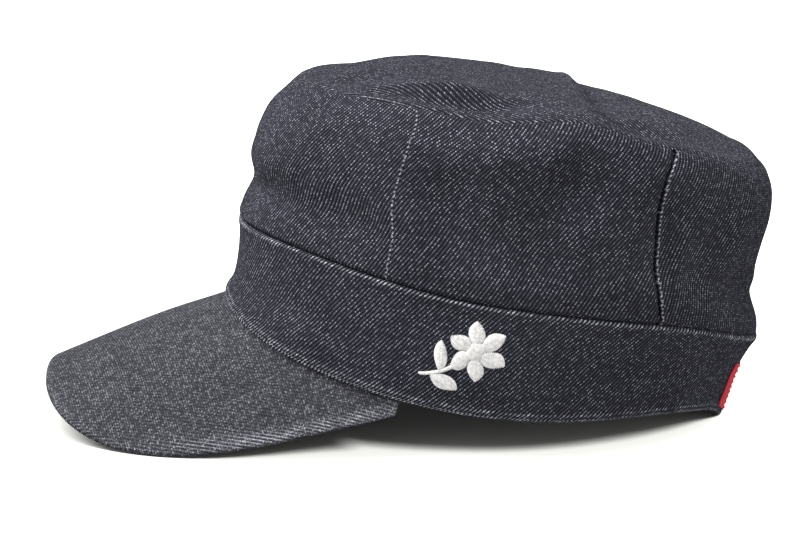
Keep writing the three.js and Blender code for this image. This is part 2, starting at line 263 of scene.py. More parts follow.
@dataclass(frozen=True)
class PeakSizes:
    """The peak: a board bent round a sloping arch and cut to a rounded crescent.

    arch, slope, crest_x, crest_z: the arch's radius, its slope and where its crest starts.
    ends: how far round the cap its ends lie.
    reach, half_width, square, corner: the free edge's outline.
    tuck, under: how far its inner edge lies in under the band, and below the hem.
    turned_up, turn_wide: how high, and over what width, that hidden edge turns up.
    fade: over what width its board comes from the hem's line to the arch.
    thick, taper, taper_power: its thickness, the share lost at its ends, and how late.
    """

    arch: float = 88.5
    slope: float = 22.7 * DEGREE
    crest_x: float = -72.5
    crest_z: float = 48.1
    ends: float = 74 * DEGREE
    reach: float = 150.6
    half_width: float = 101.8
    square: float = 2.42
    corner: float = 1.0
    tuck: float = 3.2
    under: float = -0.35
    turned_up: float = 1.0
    turn_wide: float = 1.6
    fade: float = 24
    thick: float = 3.2
    taper: float = 0.6
    taper_power: float = 6


@dataclass(frozen=True)
class Puff:
    """The raised front half of the top panel, which ends in a step across it."""

    high: float = 3.2
    rises: float = 40
    step: float = 69
    bow: float = 0.0018
    soft: float = 4.5


@dataclass(frozen=True)
class CapPattern:
    """The shape of the cap's outer faces. Angles are radians round from the front centre,
    anticlockwise seen from above, so that positive is the wearer's left."""

    gap: float = 0.35
    band_wall: float = 2.6
    crown_wall: float = 1.4
    tuck_depth: float = 6
    hem: SewnEdge = SewnEdge((48.1, 41.3, 29.6, 18.4, 14.6, 10.2, 5.0), (Wave(180, 14, -7.6),))
    band_top: SewnEdge = SewnEdge((79.5, 75.9, 59.7, 46.2, 32.8))
    top_seam: SewnEdge = SewnEdge(
        (134.2, 133, 124.9, 110.3, 100.2),
        (Wave(99, 11, 3.7), Wave(77, 8, -1.2), Wave(-48, 24, -1.8), Wave(-120, 24, -1.4)),
    )
    band_outlines: tuple[Outline, ...] = (
        Outline(0.0, -71.4, 123.6, 84.0, 2.15),
        Outline(0.25, -67.6, 126.4, 86.0, 2.15),
        Outline(0.6, -65.6, 130.4, 87.4, 2.15),
        Outline(1.0, -65.0, 138.2, 87.0, 2.15),
    )
    crown_outlines: tuple[Outline, ...] = (
        Outline(0.085, -64.2, 137.6, 87.6, 2.15),
        Outline(0.28, -59.8, 134.2, 86.6, 2.15),
        Outline(0.5, -60.2, 138.2, 86.0, 2.2),
        Outline(0.76, -53.8, 141.8, 83.0, 2.2),
        Outline(0.91, -46.0, 141.6, 78.6, 2.2),
        Outline(1.0, -40.7, 138.2, 73.0, 2.2),
    )
    wall_folds: tuple[WallFold, ...] = (
        WallFold(86, 0.84, 13, 0.13, 0, 3.4),
        WallFold(79, 0.48, 12, 0.2, -16, -3.4),
        WallFold(104, 0.74, 7, 0.2, 12, -2.6),
        WallFold(113, 0.5, 6, 0.26, 8, 1.6),
        WallFold(120, 0.24, 12, 0.12, 0, 2.8),
        WallFold(124, 0.6, 9, 0.17, 0, -3.2),
        WallFold(150, 0.66, 12, 0.2, 10, 1.8),
        WallFold(158, 0.26, 10, 0.1, 24, -1.8),
        WallFold(172, 0.33, 12, 0.07, 0, 1.8),
        WallFold(54, 0.32, 9, 0.2, -16, -2.2),
        WallFold(32, 0.6, 14, 0.24, 0, 1.6),
        WallFold(18, 0.22, 14, 0.1, 12, -1.2),
        WallFold(-38, 0.34, 14, 0.2, 10, -1.8),
        WallFold(-84, 0.5, 16, 0.2, 0, -2.6),
        WallFold(-114, 0.68, 13, 0.22, 0, -1.6),
        WallFold(-156, 0.34, 12, 0.16, 0, -1.6),
    )
    top_middle: tuple[tuple[float, float], ...] = (
        (-40.7, 134.2),
        (-10, 133.4),
        (35, 129.6),
        (71.5, 124.0),
        (94.9, 118.8),
        (114.6, 112.4),
        (131.3, 105.8),
        (138.2, 100.2),
    )
    top_flatness: float = 2.2
    top_folds: tuple[TopFold, ...] = (
        TopFold(20, -59, 22, 6, -3, -4.6),
        TopFold(12, -43, 22, 7, -4, 2.4),
        TopFold(48, -44, 16, 7, -28, 1.6),
        TopFold(-22, -18, 26, 5, 50, 1.4),
        TopFold(-14, -26, 22, 6, 50, -1.6),
        TopFold(96, -22, 26, 8, 12, 1.8),
        TopFold(104, 22, 22, 12, -10, -1.8),
        TopFold(10, 34, 14, 30, 0, 1.3),
        TopFold(44, 40, 18, 26, 0, -1.1),
        TopFold(-18, 30, 12, 22, 0, -0.6),
    )
    puff: Puff = Puff()
    fore_seam: Seam = Seam((66.2, 66.2, 66.1, 65.6, 62.3))
    aft_seam: Seam = Seam((122, 122.4, 121.2, 118.8, 122))
    peak: PeakSizes = PeakSizes()

    def section(self, outlines: tuple[Outline, ...], low: Array, high: Array, angle: Array) -> Array:
        """The upright section through the outlines at each angle.

        Args:
            outlines: The plan outlines, from low to high.
            low: The lower edge's height at each angle.
            high: The upper edge's height at each angle.
            angle: The angles round.

        Returns:
            One row of points for each outline.
        """
        rows = []
        for row in outlines:
            power = 2 / row.square
            x = (row.front + row.back) / 2 - (row.back - row.front) / 2 * powered(np.cos(angle), power)
            y = -row.half * powered(np.sin(angle), power)
            rows.append(np.stack((x, y, mix(low, high, row.rise)), axis=-1))
        return np.array(rows)

    def band_face(self, angle: Array, up: Array) -> Array:
        """The band's outer face, with up from 0 at the hem to 1 at its top edge.

        Args:
            angle: Radians round.
            up: Shares of its height.

        Returns:
            A point for each.
        """
        low, high = self.hem.height(angle), self.band_top.height(angle)
        rises = [row.rise for row in self.band_outlines]
        at = np.interp(up, rises, np.linspace(0, 1, len(rises)))
        return smooth_curve(self.section(self.band_outlines, low, high, angle), at)

    def facing(self, face: Face, angle: Array, up: Array) -> Array:
        """The direction that a wall looks in.

        Args:
            face: The wall's outer face.
            angle: Radians round.
            up: Shares of its height.

        Returns:
            A direction for each.
        """
        across = face(angle + SLOPE_STEP, up) - face(angle - SLOPE_STEP, up)
        high = np.clip(up + SLOPE_STEP, 2 * SLOPE_STEP, 1)
        rise = face(angle, high) - face(angle, high - 2 * SLOPE_STEP)
        return unit(np.cross(across, rise))

    def girth(self, face: Face, up: float, angle: Array) -> Array:
        """Millimetres round a wall at one height, counted from the front centre.

        Args:
            face: The wall's outer face.
            up: The share of its height.
            angle: Radians round.

        Returns:
            A length for each angle.
        """
        whole_turn = 2 * math.pi
        steps = np.linspace(0, whole_turn, ROUND_CUTS + 1)
        line = face(steps, np.full_like(steps, up))[:, None, :2]
        along = lengths_along(line, 0)[:, 0]
        turns = np.floor(angle / whole_turn)
        return np.interp(angle - turns * whole_turn, steps, along) + turns * along[-1]

    def off_band(self, angle: Array, up: Array, out: Array) -> Array:
        """A point out from the band's outer face."""
        facing = self.facing(self.band_face, angle, up)
        return self.band_face(angle, up) + facing * np.reshape(out, (-1, 1))

    def wall_fold(self, angle: Array, up: Array) -> Array:
        """How far the folds of the crown's wall stand out."""
        return smoothstep(np.minimum(up, 1 - up), 0, 0.12) * folded_out(self.wall_folds, angle, up)

    def crown_face(self, angle: Array, climb: Array) -> Array:
        """The outer face of the crown's wall, from 0 inside the band to 1 at the top seam.

        Args:
            angle: Radians round.
            climb: The share of the way up.

        Returns:
            A point for each.
        """
        low, high = self.band_top.height(angle), self.top_seam.height(angle)
        tucked = 1 - self.tuck_depth / (low - self.hem.height(angle))
        inside = np.full_like(angle, -(self.band_wall + self.gap))
        start = [self.off_band(angle, tucked, inside), self.off_band(angle, np.ones_like(angle), inside)]
        points = np.concatenate((start, self.section(self.crown_outlines, low, high, angle)))
        point = smooth_curve(points, climb)
        out = self.wall_fold(angle, np.clip((point[:, 2] - low) / (high - low), 0, 1))
        return point + outwards(angle) * out[:, None]

    def top_middle_height(self, x: Array) -> Array:
        """The height along the top panel's middle, without its puffed part.

        Args:
            x: Millimetres from front to back.

        Returns:
            Millimetres up.
        """
        ends = np.array([(at, 0, height) for at, height in self.top_middle], float)
        steps = np.linspace(0, 1, MIDDLE_CUTS + 1)
        line = smooth_curve(np.repeat(ends[:, None], len(steps), axis=1), steps)
        return np.interp(x, line[:, 0], line[:, 2])

    def top_face(self, angle: Array, out: Array) -> Array:
        """The outer face of the top panel, from 0 at its middle to 1 at the top seam.

        Args:
            angle: Radians round.
            out: The share of the way out.

        Returns:
            A point for each.
        """
        edge = self.crown_face(angle, np.ones_like(angle))
        last = self.crown_outlines[-1]
        x = mix((last.front + last.back) / 2, edge[:, 0], out)
        y = edge[:, 1] * out
        step = self.puff.step + self.puff.bow * np.minimum(y, 0) ** 2
        ahead = 1 - smoothstep(x - step, -self.puff.soft, self.puff.soft)
        puff = self.puff.high * ahead * smoothstep(x - last.front, 0, self.puff.rises)
        rim = (edge[:, 2] - self.top_middle_height(edge[:, 0])) * out**self.top_flatness
        raised = (puff + folded_up(self.top_folds, x, y)) * smoothstep(1 - out, 0, 0.16)
        return np.stack((x, y, self.top_middle_height(x) + rim + raised), axis=-1)

    def top_facing(self, angle: Array, out: Array) -> Array:
        """The direction that the top panel looks in.

        Args:
            angle: Radians round.
            out: The share of the way out.

        Returns:
            A direction for each.
        """
        near = np.maximum(out, 4 * SLOPE_STEP)
        across = self.top_face(angle + SLOPE_STEP, near) - self.top_face(angle - SLOPE_STEP, near)
        inwards = self.top_face(angle, near - 2 * SLOPE_STEP) - self.top_face(angle, near)
        return unit(np.cross(across, inwards))

    def arch_height(self, x: Array, y: Array) -> Array:
        """The height of the arch that the peak's board is bent round."""
        sag = self.peak.arch - np.sqrt(self.peak.arch**2 - y**2)
        return self.peak.crest_z + math.tan(self.peak.slope) * (x - self.peak.crest_x) - sag

    def peak_flat(self, share: Array, out: Array) -> tuple[Array, Array]:
        """The peak with its board rolled out flat.

        Args:
            share: From -1 at one end of the crescent to 1 at the other.
            out: From 0 under the hem to 1 at the free edge.

        Returns:
            Millimetres round the arch and down its slope, and millimetres from the inner edge.
        """
        peak = self.peak
        hem = self.under_hem(share)
        inner_round = peak.arch * np.arcsin(hem[:, 1] / peak.arch)
        inner_down = (peak.crest_x - hem[:, 0]) / math.cos(peak.slope)
        inner = np.stack((inner_round, inner_down), axis=-1)
        end = self.band_face(np.array([peak.ends]), np.zeros(1))[0]
        start = (peak.crest_x - end[0]) / math.cos(peak.slope) + peak.corner
        power = 2 / peak.square
        turn = share * math.pi / 2
        outer_round = peak.half_width * powered(np.sin(turn), power)
        outer_down = start + (peak.reach - peak.corner) * powered(np.cos(turn), power)
        outer = np.stack((outer_round, outer_down), axis=-1)
        whole = np.linalg.norm(outer - inner, axis=-1)
        return mix(inner, outer, out[:, None]), whole * out

    def under_hem(self, share: Array) -> Array:
        """Where the peak's inner edge lies, tucked under the band."""
        inwards = np.full_like(share, -self.peak.tuck)
        return self.off_band(-share * self.peak.ends, np.zeros_like(share), inwards)

    def peak_face(self, share: Array, out: Array) -> Array:
        """The peak's upper face, with share and out as in peak_flat.

        Args:
            share: The share of the way across.
            out: The share of the way out.

        Returns:
            A point for each.
        """
        peak = self.peak
        flat, from_hem = self.peak_flat(share, out)
        hem = self.under_hem(share)
        x = peak.crest_x - flat[:, 1] * math.cos(peak.slope)
        y = peak.arch * np.sin(flat[:, 0] / peak.arch)
        to_hem = hem[:, 2] - peak.under - self.arch_height(hem[:, 0], hem[:, 1])
        turned_up = peak.turned_up * bell(from_hem / peak.turn_wide)
        height = self.arch_height(x, y) + to_hem * bell(from_hem / peak.fade) + turned_up
        return np.stack((x, y, height), axis=-1)

    def peak_facing(self, share: Array, out: Array) -> Array:
        """The direction that the peak's upper face looks in.

        Args:
            share: The share of the way across.
            out: The share of the way out.

        Returns:
            A direction for each.
        """
        inside = np.clip(out, SLOPE_STEP, 1 - SLOPE_STEP)
        within = np.clip(share, SLOPE_STEP - 1, 1 - SLOPE_STEP)
        along = self.peak_face(within + SLOPE_STEP, inside) - self.peak_face(within - SLOPE_STEP, inside)
        down = self.peak_face(within, inside + SLOPE_STEP) - self.peak_face(within, inside - SLOPE_STEP)
        return unit(np.cross(along, down))


@dataclass(frozen=True)
class Laid:
    """Where the points of a grid of cloth go.

    points: millimetres, in the drawing's frame.
    cloth: the same points on the flat cloth, in millimetres across and along its warp.
    wear: how much each point is worn by rubbing, and how much painted highlight it gets where a folded edge
    catches light, from 0 to 1.
    wall: the cloth's thickness there, as a share of the thickest.
    seam: how much each point rubs in dots down a sewn side, from 0 to 1.
    """

    points: Array
    cloth: Array
    wear_and_highlight: Array
    wall: Array | None = None
    seam: Array | None = None


def turned(cloth: Array, degrees: float) -> Array:
    """Flat cloth coordinates turned anticlockwise."""
    cos, sin = math.cos(degrees * DEGREE), math.sin(degrees * DEGREE)
    return cloth @ np.array(((cos, sin), (-sin, cos)))


def lengths_along(points: Array, axis: int) -> Array:
    """Millimetres from the grid's first line, along its columns (axis 0) or rows (axis 1).

    Args:
        points: The grid's points.
        axis: The axis to go along.

    Returns:
        A length for each point.
    """
    steps = np.linalg.norm(np.diff(points, axis=axis), axis=-1)
    start = np.zeros_like(np.take(steps, [0], axis=axis))
    return np.concatenate((start, np.cumsum(steps, axis=axis)), axis=axis)


@dataclass(frozen=True)
class ClothGrid:
    """A grid of cloth that is shaped by moving its points."""

    name: str
    columns: int
    rows: int
    merge: float = 0.004

    def lay(self, shape: Callable[[Array, Array], Laid]) -> bpy.types.Object:
        """Adds the grid and moves its points.

        Args:
            shape: Gives the cloth for the shares across and up of the grid's points.

        Returns:
            The new piece, with its cloth coordinates as its UV map, closed where its edges meet.
        """
        bpy.ops.object.select_all(action="DESELECT")
        bpy.ops.mesh.primitive_grid_add(x_subdivisions=self.columns, y_subdivisions=self.rows, size=2)
        piece = bpy.context.active_object
        piece.name = self.name
        piece.data.name = self.name
        flat = read_points(piece.data)
        laid = shape((flat[:, 0] + 1) / 2, (flat[:, 1] + 1) / 2)
        write_points(piece.data, laid.points)
        points = np.zeros(len(piece.data.loops), np.int32)
        piece.data.loops.foreach_get("vertex_index", points)
        uv = piece.data.uv_layers.active.data
        uv.foreach_set("uv", laid.cloth[points].astype(np.float32).ravel())
        for name, values in (("wear_and_highlight", laid.wear_and_highlight), ("seam", laid.seam)):
            if values is not None:
                attribute = piece.data.attributes.new(name, "FLOAT", "POINT")
                attribute.data.foreach_set("value", values.astype(np.float32))
        if laid.wall is not None:
            add_weights(piece, "wall", laid.wall)
        bpy.ops.object.mode_set(mode="EDIT")
        bpy.ops.mesh.select_all(action="SELECT")
        bpy.ops.mesh.remove_doubles(threshold=self.merge * MM)
        bpy.ops.object.mode_set(mode="OBJECT")
        return piece


def read_points(mesh: bpy.types.Mesh) -> Array:
    """The mesh's points as rows of x, y and z.

    Args:
        mesh: The mesh.

    Returns:
        Its points, as they are in it.
    """
    flat = np.zeros(len(mesh.vertices) * 3)
    mesh.vertices.foreach_get("co", flat)
    return flat.reshape(-1, 3)


def write_points(mesh: bpy.types.Mesh, points: Array) -> None:
    """Moves the mesh's points to places given in the drawing's millimetres.

    Args:
        mesh: The mesh.
        points: A place for each of its points.
    """
    on_floor = np.maximum(points - FOOTPRINT_MIDDLE, (-math.inf, -math.inf, 0))
    mesh.vertices.foreach_set("co", (on_floor * MM).ravel())
    mesh.update()


def add_weights(piece: bpy.types.Object, name: str, weights: Array) -> None:
    """Gives the piece a vertex group with these weights, in steps of a hundredth.

    Args:
        piece: The piece.
        name: The group's name.
        weights: A weight for each point.
    """
    group = piece.vertex_groups.new(name=name)
    levels = np.round(weights, 2)
    for level in np.unique(levels):
        group.add(np.flatnonzero(levels == level).tolist(), float(level), "REPLACE")


def face_outwards(piece: bpy.types.Object) -> None:
    """Turns the faces of a closed piece outwards.

    Args:
        piece: The piece, which is the active one; this argument is not used.
    """
    bpy.ops.object.mode_set(mode="EDIT")
    bpy.ops.mesh.select_all(action="SELECT")
    bpy.ops.mesh.normals_make_consistent(inside=False)
    bpy.ops.object.mode_set(mode="OBJECT")


def give_wall(piece: bpy.types.Object, thick: float) -> None:
    """Thickens a sheet inwards by its weights in wall, with its second material inside.

    Args:
        piece: The sheet.
        thick: Millimetres at full weight.
    """
    modifier = piece.modifiers.new("wall", "SOLIDIFY")
    modifier.thickness = thick * MM
    modifier.offset = -1
    modifier.vertex_group = "wall"
    modifier.thickness_vertex_group = 0
    modifier.material_offset = 1
    modifier.material_offset_rim = 0
    bpy.ops.object.modifier_apply(modifier=modifier.name)


def smooth(piece: bpy.types.Object, degrees: float) -> None:
    """Shades the piece smooth, apart from edges sharper than the angle.

    Args:
        piece: The piece.
        degrees: The angle.
    """
    bpy.ops.object.select_all(action="DESELECT")
    piece.select_set(True)
    bpy.context.view_layer.objects.active = piece
    bpy.ops.object.shade_smooth_by_angle(angle=degrees * DEGREE)


def hand_over(piece: bpy.types.Object, nodes: tuple[str, ...]) -> None:
    """Lets the piece ride with the cap and stand for the solids that it dresses.

    Args:
        piece: The piece.
        nodes: The solids' names.
    """
    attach(piece, "root")
    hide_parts(*nodes)
    log.info("%s: %d faces, stands for %s", piece.name, len(piece.data.polygons), ", ".join(nodes))


class NodeBoard:
    """Adds nodes to a tree and joins them."""

    def __init__(self, tree: bpy.types.NodeTree) -> None:
        """Works on this tree."""
        self.tree = tree

    def add(self, kind: str, **settings: object) -> bpy.types.Node:
        """Adds a node and sets its own settings.

        Args:
            kind: The node's kind.
            settings: Its settings.

        Returns:
            The node.
        """
        node = self.tree.nodes.new(kind)
        for name, value in settings.items():
            setattr(node, name, value)
        return node

    def plug(self, socket: bpy.types.NodeSocket, value: object) -> None:
        """Joins another socket to this one, or sets its value.

        Args:
            socket: The socket to feed.
            value: Another node's output, or a plain value.
        """
        if isinstance(value, bpy.types.NodeSocket):
            self.tree.links.new(value, socket)
        else:
            socket.default_value = value

    def math(self, operation: str, *values: object) -> bpy.types.NodeSocket:
        """One step of arithmetic.

        Args:
            operation: What to do.
            values: Its inputs.

        Returns:
            The result.
        """
        node = self.add("ShaderNodeMath", operation=operation)
        for socket, value in zip(node.inputs, values):
            self.plug(socket, value)
        return node.outputs[0]

    def plus(self, a: object, b: object) -> bpy.types.NodeSocket:
        """Adds two values."""
        return self.math("ADD", a, b)

    def minus(self, a: object, b: object) -> bpy.types.NodeSocket:
        """Takes b from a."""
        return self.math("SUBTRACT", a, b)

    def times(self, a: object, b: object) -> bpy.types.NodeSocket:
        """Multiplies two values."""
        return self.math("MULTIPLY", a, b)

    def over(self, a: object, b: object) -> bpy.types.NodeSocket:
        """Divides a by b."""
        return self.math("DIVIDE", a, b)

    def power(self, a: object, b: object) -> bpy.types.NodeSocket:
        """Raises a to the power b."""
        return self.math("POWER", a, b)

    def scaled(self, value: object, by: object, more: object) -> bpy.types.NodeSocket:
        """Multiplies a value and adds more."""
        return self.math("MULTIPLY_ADD", value, by, more)

    def whole(self, value: object) -> bpy.types.NodeSocket:
        """The whole number below a value."""
        return self.math("FLOOR", value)

    def off_middle(self, value: object) -> bpy.types.NodeSocket:
        """How far a value is from the middle between two whole numbers, from -0.5 to 0.5."""
        return self.minus(self.math("FRACT", value), 0.5)

    def chance(self, x: object, y: object) -> bpy.types.NodeSocket:
        """A value from 0 to 1 of its own for each pair of whole numbers.

        Args:
            x: The first number.
            y: The second number.

        Returns:
            The value.
        """
        node = self.add("ShaderNodeTexWhiteNoise", noise_dimensions="2D")
        self.plug(node.inputs["Vector"], self.vector(x, y))
        return node.outputs["Value"]

    def split(self, vector: object) -> tuple[bpy.types.NodeSocket, bpy.types.NodeSocket]:
        """The x and y of a vector.

        Args:
            vector: The vector.

        Returns:
            Both values.
        """
        node = self.add("ShaderNodeSeparateXYZ")
        self.plug(node.inputs[0], vector)
        return node.outputs["X"], node.outputs["Y"]

    def cloth(self) -> bpy.types.NodeSocket:
        """The place on the flat cloth, from the piece's UV map."""
        return self.add("ShaderNodeUVMap", uv_map="UVMap").outputs[0]

    def of_piece(self, name: str) -> bpy.types.NodeSocket:
        """An attribute of the piece's points."""
        return self.add("ShaderNodeAttribute", attribute_name=name).outputs["Fac"]

    def ramp(self, value: object, low: float, high: float, to_low: float = 0, to_high: float = 1) -> object:
        """A value taken smoothly from one range to another.

        Args:
            value: The value.
            low: Where it starts.
            high: Where it ends.
            to_low: What it's then at the start.
            to_high: What it's then at the end.

        Returns:
            The new value.
        """
        node = self.add("ShaderNodeMapRange", interpolation_type="SMOOTHSTEP")
        for name, given in zip(
            ("Value", "From Min", "From Max", "To Min", "To Max"), (value, low, high, to_low, to_high)
        ):
            self.plug(node.inputs[name], given)
        return node.outputs["Result"]

    def blend(self, share: object, a: object, b: object) -> bpy.types.NodeSocket:
        """A colour between two others.

        Args:
            share: The share of the way.
            a: The first colour.
            b: The other colour.

        Returns:
            The colour.
        """
        node = self.add("ShaderNodeMix", data_type="RGBA")
        for index, value in zip((0, 6, 7), (share, a, b)):
            self.plug(node.inputs[index], value)
        return node.outputs[2]

    def noise(self, vector: object, scale: float, detail: float = 2) -> bpy.types.NodeSocket:
        """Soft noise over a vector, from 0 to 1.

        Args:
            vector: The place.
            scale: How often it varies.
            detail: How many finer layers.

        Returns:
            The noise.
        """
        node = self.add("ShaderNodeTexNoise")
        self.plug(node.inputs["Vector"], vector)
        node.inputs["Scale"].default_value = scale
        node.inputs["Detail"].default_value = detail
        return node.outputs["Fac"]

    def vector(self, x: object, y: object, z: object = 0.0) -> bpy.types.NodeSocket:
        """A vector of three values.

        Args:
            x: The first value.
            y: The second.
            z: The third.

        Returns:
            The vector.
        """
        node = self.add("ShaderNodeCombineXYZ")
        for socket, value in zip(node.inputs, (x, y, z)):
            self.plug(socket, value)
        return node.outputs[0]


def new_group(name: str, inputs: tuple[tuple[str, str], ...], outputs: tuple[str, ...]) -> tuple:
    """Starts a node group.

    Args:
        name: The group's name.
        inputs: Names and socket kinds.
        outputs: Names of values.

    Returns:
        The group, its board, its input node and its output node.
    """
    group = bpy.data.node_groups.new(name, "ShaderNodeTree")
    for label, kind in inputs:
        group.interface.new_socket(name=label, in_out="INPUT", socket_type=kind)
    for label in outputs:
        group.interface.new_socket(name=label, in_out="OUTPUT", socket_type="NodeSocketFloat")
    board = NodeBoard(group)
    return group, board, board.add("NodeGroupInput"), board.add("NodeGroupOutput")


@dataclass(frozen=True)
class Speckle:
    """Loose pale specks on cloth, one for each crossing of its yarns, a few of them bright.

    cell, row: millimetres between specks, and between their rows.
    stagger: millimetres that each row is moved on from the last.
    drift, drift_scale: how far the rows wander, and how often.
    seldom, bright, dim: how few are bright, what those add, and what all have.
    core, rim, ground: a speck's middle and edge as squared radii, and what shows round it.
    """

    cell: float = 0.78
    row: float = 0.88
    stagger: float = 0.38
    drift: float = 0.8
    drift_scale: float = 1.0
    seldom: float = 3.0
    bright: float = 1.2
    dim: float = 0.22
    core: float = 0.015
    rim: float = 0.15
    ground: float = 0.1

    def shown(self, board: NodeBoard, x: object, y: object) -> bpy.types.NodeSocket:
        """How much of the specks shows.

        Args:
            board: The board to work on.
            x: Millimetres across the cloth.
            y: Millimetres along it.

        Returns:
            A value from 0 up.
        """
        shift = board.times(board.noise(board.vector(x, y), self.drift_scale, 1), self.drift)
        along = board.over(board.minus(y, shift), self.row)
        staggered = board.scaled(board.whole(along), self.stagger, shift)
        across = board.over(board.plus(x, staggered), self.cell)
        chance = board.chance(board.whole(across), board.whole(along))
        radius = board.plus(*(board.power(board.off_middle(value), 2.0) for value in (across, along)))
        bright = board.scaled(board.power(chance, self.seldom), self.bright, self.dim)
        return board.times(board.ramp(radius, self.core, self.rim, 1.0, self.ground), bright)


@dataclass(frozen=True)
class Twill:
    """A three-to-one twill: pale weft between slanting ridges of dark warp, bare where it rubs and where
    painted highlight marks an edge.

    repeat, start: warp yarns in a repeat, and where its weft lies, as a share of it.
    dot_tall: half the height of a dot of weft, in picks.
    dot_fade, row_fade: from where to where dots, and the slanting rows of them, fade out.
    seldom, bright, dim: how few dots are bare, how much those show, and how much all do.
    run_step, run_fade, run_bright: how runs of dots along a row come, fade and show.
    row_shown: how much a whole row shows between its dots.
    patch_scale, patch_fade, patch_rubbed_and_lit: how often, and between which amounts, the rubbing and
    painted highlight vary.
    rubbed_and_lit_bare, rubbed_and_lit_all: what bare dots add under the rubbing and painted highlight, and
    what all of it shows.
    seam_dots, seam_fade, seam_uneven, seam_all: millimetres between the dots down a sewn side,
    where they fade, how unlike they are and what all show.
    ridge, yarn: how high the ridges and the yarns on them stand.
    streak_step, cloud_scale: how often the dye's streaks and clouds come.
    """

    repeat: float = 4.0
    start: float = 0.375
    dot_tall: float = 0.42
    dot_fade: tuple[float, float] = (0.3, 1.5)
    row_fade: tuple[float, float] = (0.5, 1.6)
    seldom: float = 6.0
    bright: float = 1.7
    dim: float = 0.07
    run_step: tuple[float, float] = (3.7, 0.4)
    run_fade: tuple[float, float] = (0.42, 0.66)
    run_bright: float = 0.36
    row_shown: float = 0.06
    patch_scale: float = 0.11
    patch_fade: tuple[float, float] = (0.36, 0.62)
    patch_rubbed_and_lit: tuple[float, float] = (0.4, 1.1)
    rubbed_and_lit_bare: float = 0.7
    rubbed_and_lit_all: float = 0.6
    seam_dots: float = 1.62
    seam_fade: tuple[float, float] = (0.2, 0.62)
    seam_uneven: float = 0.5
    seam_all: float = 0.6
    ridge: float = -0.5
    yarn: float = -0.12
    streak_step: tuple[float, float] = (0.4, 0.012)
    cloud_scale: float = 0.035
    speckle: Speckle = Speckle()

    def group(self) -> bpy.types.NodeTree:
        """Builds the node group.

        Returns:
            The group. Cloth is in millimetres, End and Pick are the spaces between yarns, Dot is
            how wide the weft shows, Grit the share of it that is loose speckle, Wear the rubbing
            and painted highlight across the twill and Seam the rubbing in dots down a sewn side.
        """
        names = ("End", "Pick", "Dot", "Grit", "Wear and highlight", "Seam")
        inputs = (("Cloth", "NodeSocketVector"), *((name, "NodeSocketFloat") for name in names))
        group, board, given, result = new_group("twill weave", inputs, ("Weft", "Relief", "Tone"))
        cloth, end, pick, dot, grit, wear_and_highlight, seam = (given.outputs[name] for name in ("Cloth", *names))
        x, y = board.split(cloth)
        across, along = board.over(x, end), board.over(y, pick)
        slant = board.minus(across, along)
        line = board.scaled(board.minus(across, board.whole(along)), 1 / self.repeat, self.start)
        chance = board.chance(board.whole(line), board.whole(along))
        run_at = board.vector(*map(board.times, (board.whole(line), along), self.run_step))
        run = board.times(board.ramp(board.noise(run_at, 1.0), *self.run_fade), self.run_bright)
        bare = board.scaled(board.power(chance, self.seldom), self.bright, run)
        from_dot = board.over(board.times(board.off_middle(line), self.repeat), dot)
        from_pick = board.over(board.off_middle(along), self.dot_tall)
        apart = board.plus(board.power(from_dot, 2.0), board.power(from_pick, 2.0))
        spot = board.ramp(apart, *self.dot_fade, 1.0, 0.0)
        slanting = board.scaled(slant, 1 / self.repeat, self.start)
        from_row = board.math("ABSOLUTE", board.off_middle(slanting))
        row = board.ramp(board.over(board.times(from_row, self.repeat), dot), *self.row_fade, 1.0, 0.0)
        woven = board.scaled(spot, board.plus(bare, self.dim), board.times(row, self.row_shown))
        specks = board.times(self.speckle.shown(board, x, y), grit)
        shown = board.scaled(woven, board.minus(1.0, grit), specks)
        # Along edges the weft rows pale: real rubbing and painted highlight together, varied in patches.
        patch = board.ramp(board.noise(cloth, self.patch_scale, 2), *self.patch_fade, *self.patch_rubbed_and_lit)
        rubbed_and_lit = board.times(board.scaled(bare, self.rubbed_and_lit_bare, self.rubbed_and_lit_all), board.times(row, patch))
        rubbed_and_lit = board.times(rubbed_and_lit, wear_and_highlight)
        from_dot = board.times(board.math("ABSOLUTE", board.off_middle(board.over(y, self.seam_dots))), 2.0)
        dotted = board.times(board.ramp(from_dot, *self.seam_fade, 1.0, 0.0), seam)
        dotted = board.times(dotted, board.scaled(chance, self.seam_uneven, self.seam_all))
        most = board.math("MAXIMUM", shown, board.math("MAXIMUM", rubbed_and_lit, dotted))
        board.plug(result.inputs["Weft"], board.math("MINIMUM", most, 1.0))
        ridge = board.math("COSINE", board.times(slant, 2 * math.pi / self.repeat))
        yarn = board.math("COSINE", board.times(across, 2 * math.pi))
        board.plug(result.inputs["Relief"], board.scaled(ridge, self.ridge, board.times(yarn, self.yarn)))
        streak_at = board.vector(*map(board.times, (across, along), self.streak_step))
        tone = board.plus(board.noise(streak_at, 1.0), board.noise(cloth, self.cloud_scale, 3))
        board.plug(result.inputs["Tone"], board.times(tone, 0.5))
        return group


class Socket(enum.Enum):
    """The shader sockets that a finish sets."""

    COLOUR = "Base Color"
    ROUGHNESS = "Roughness"
    NORMAL = "Normal"


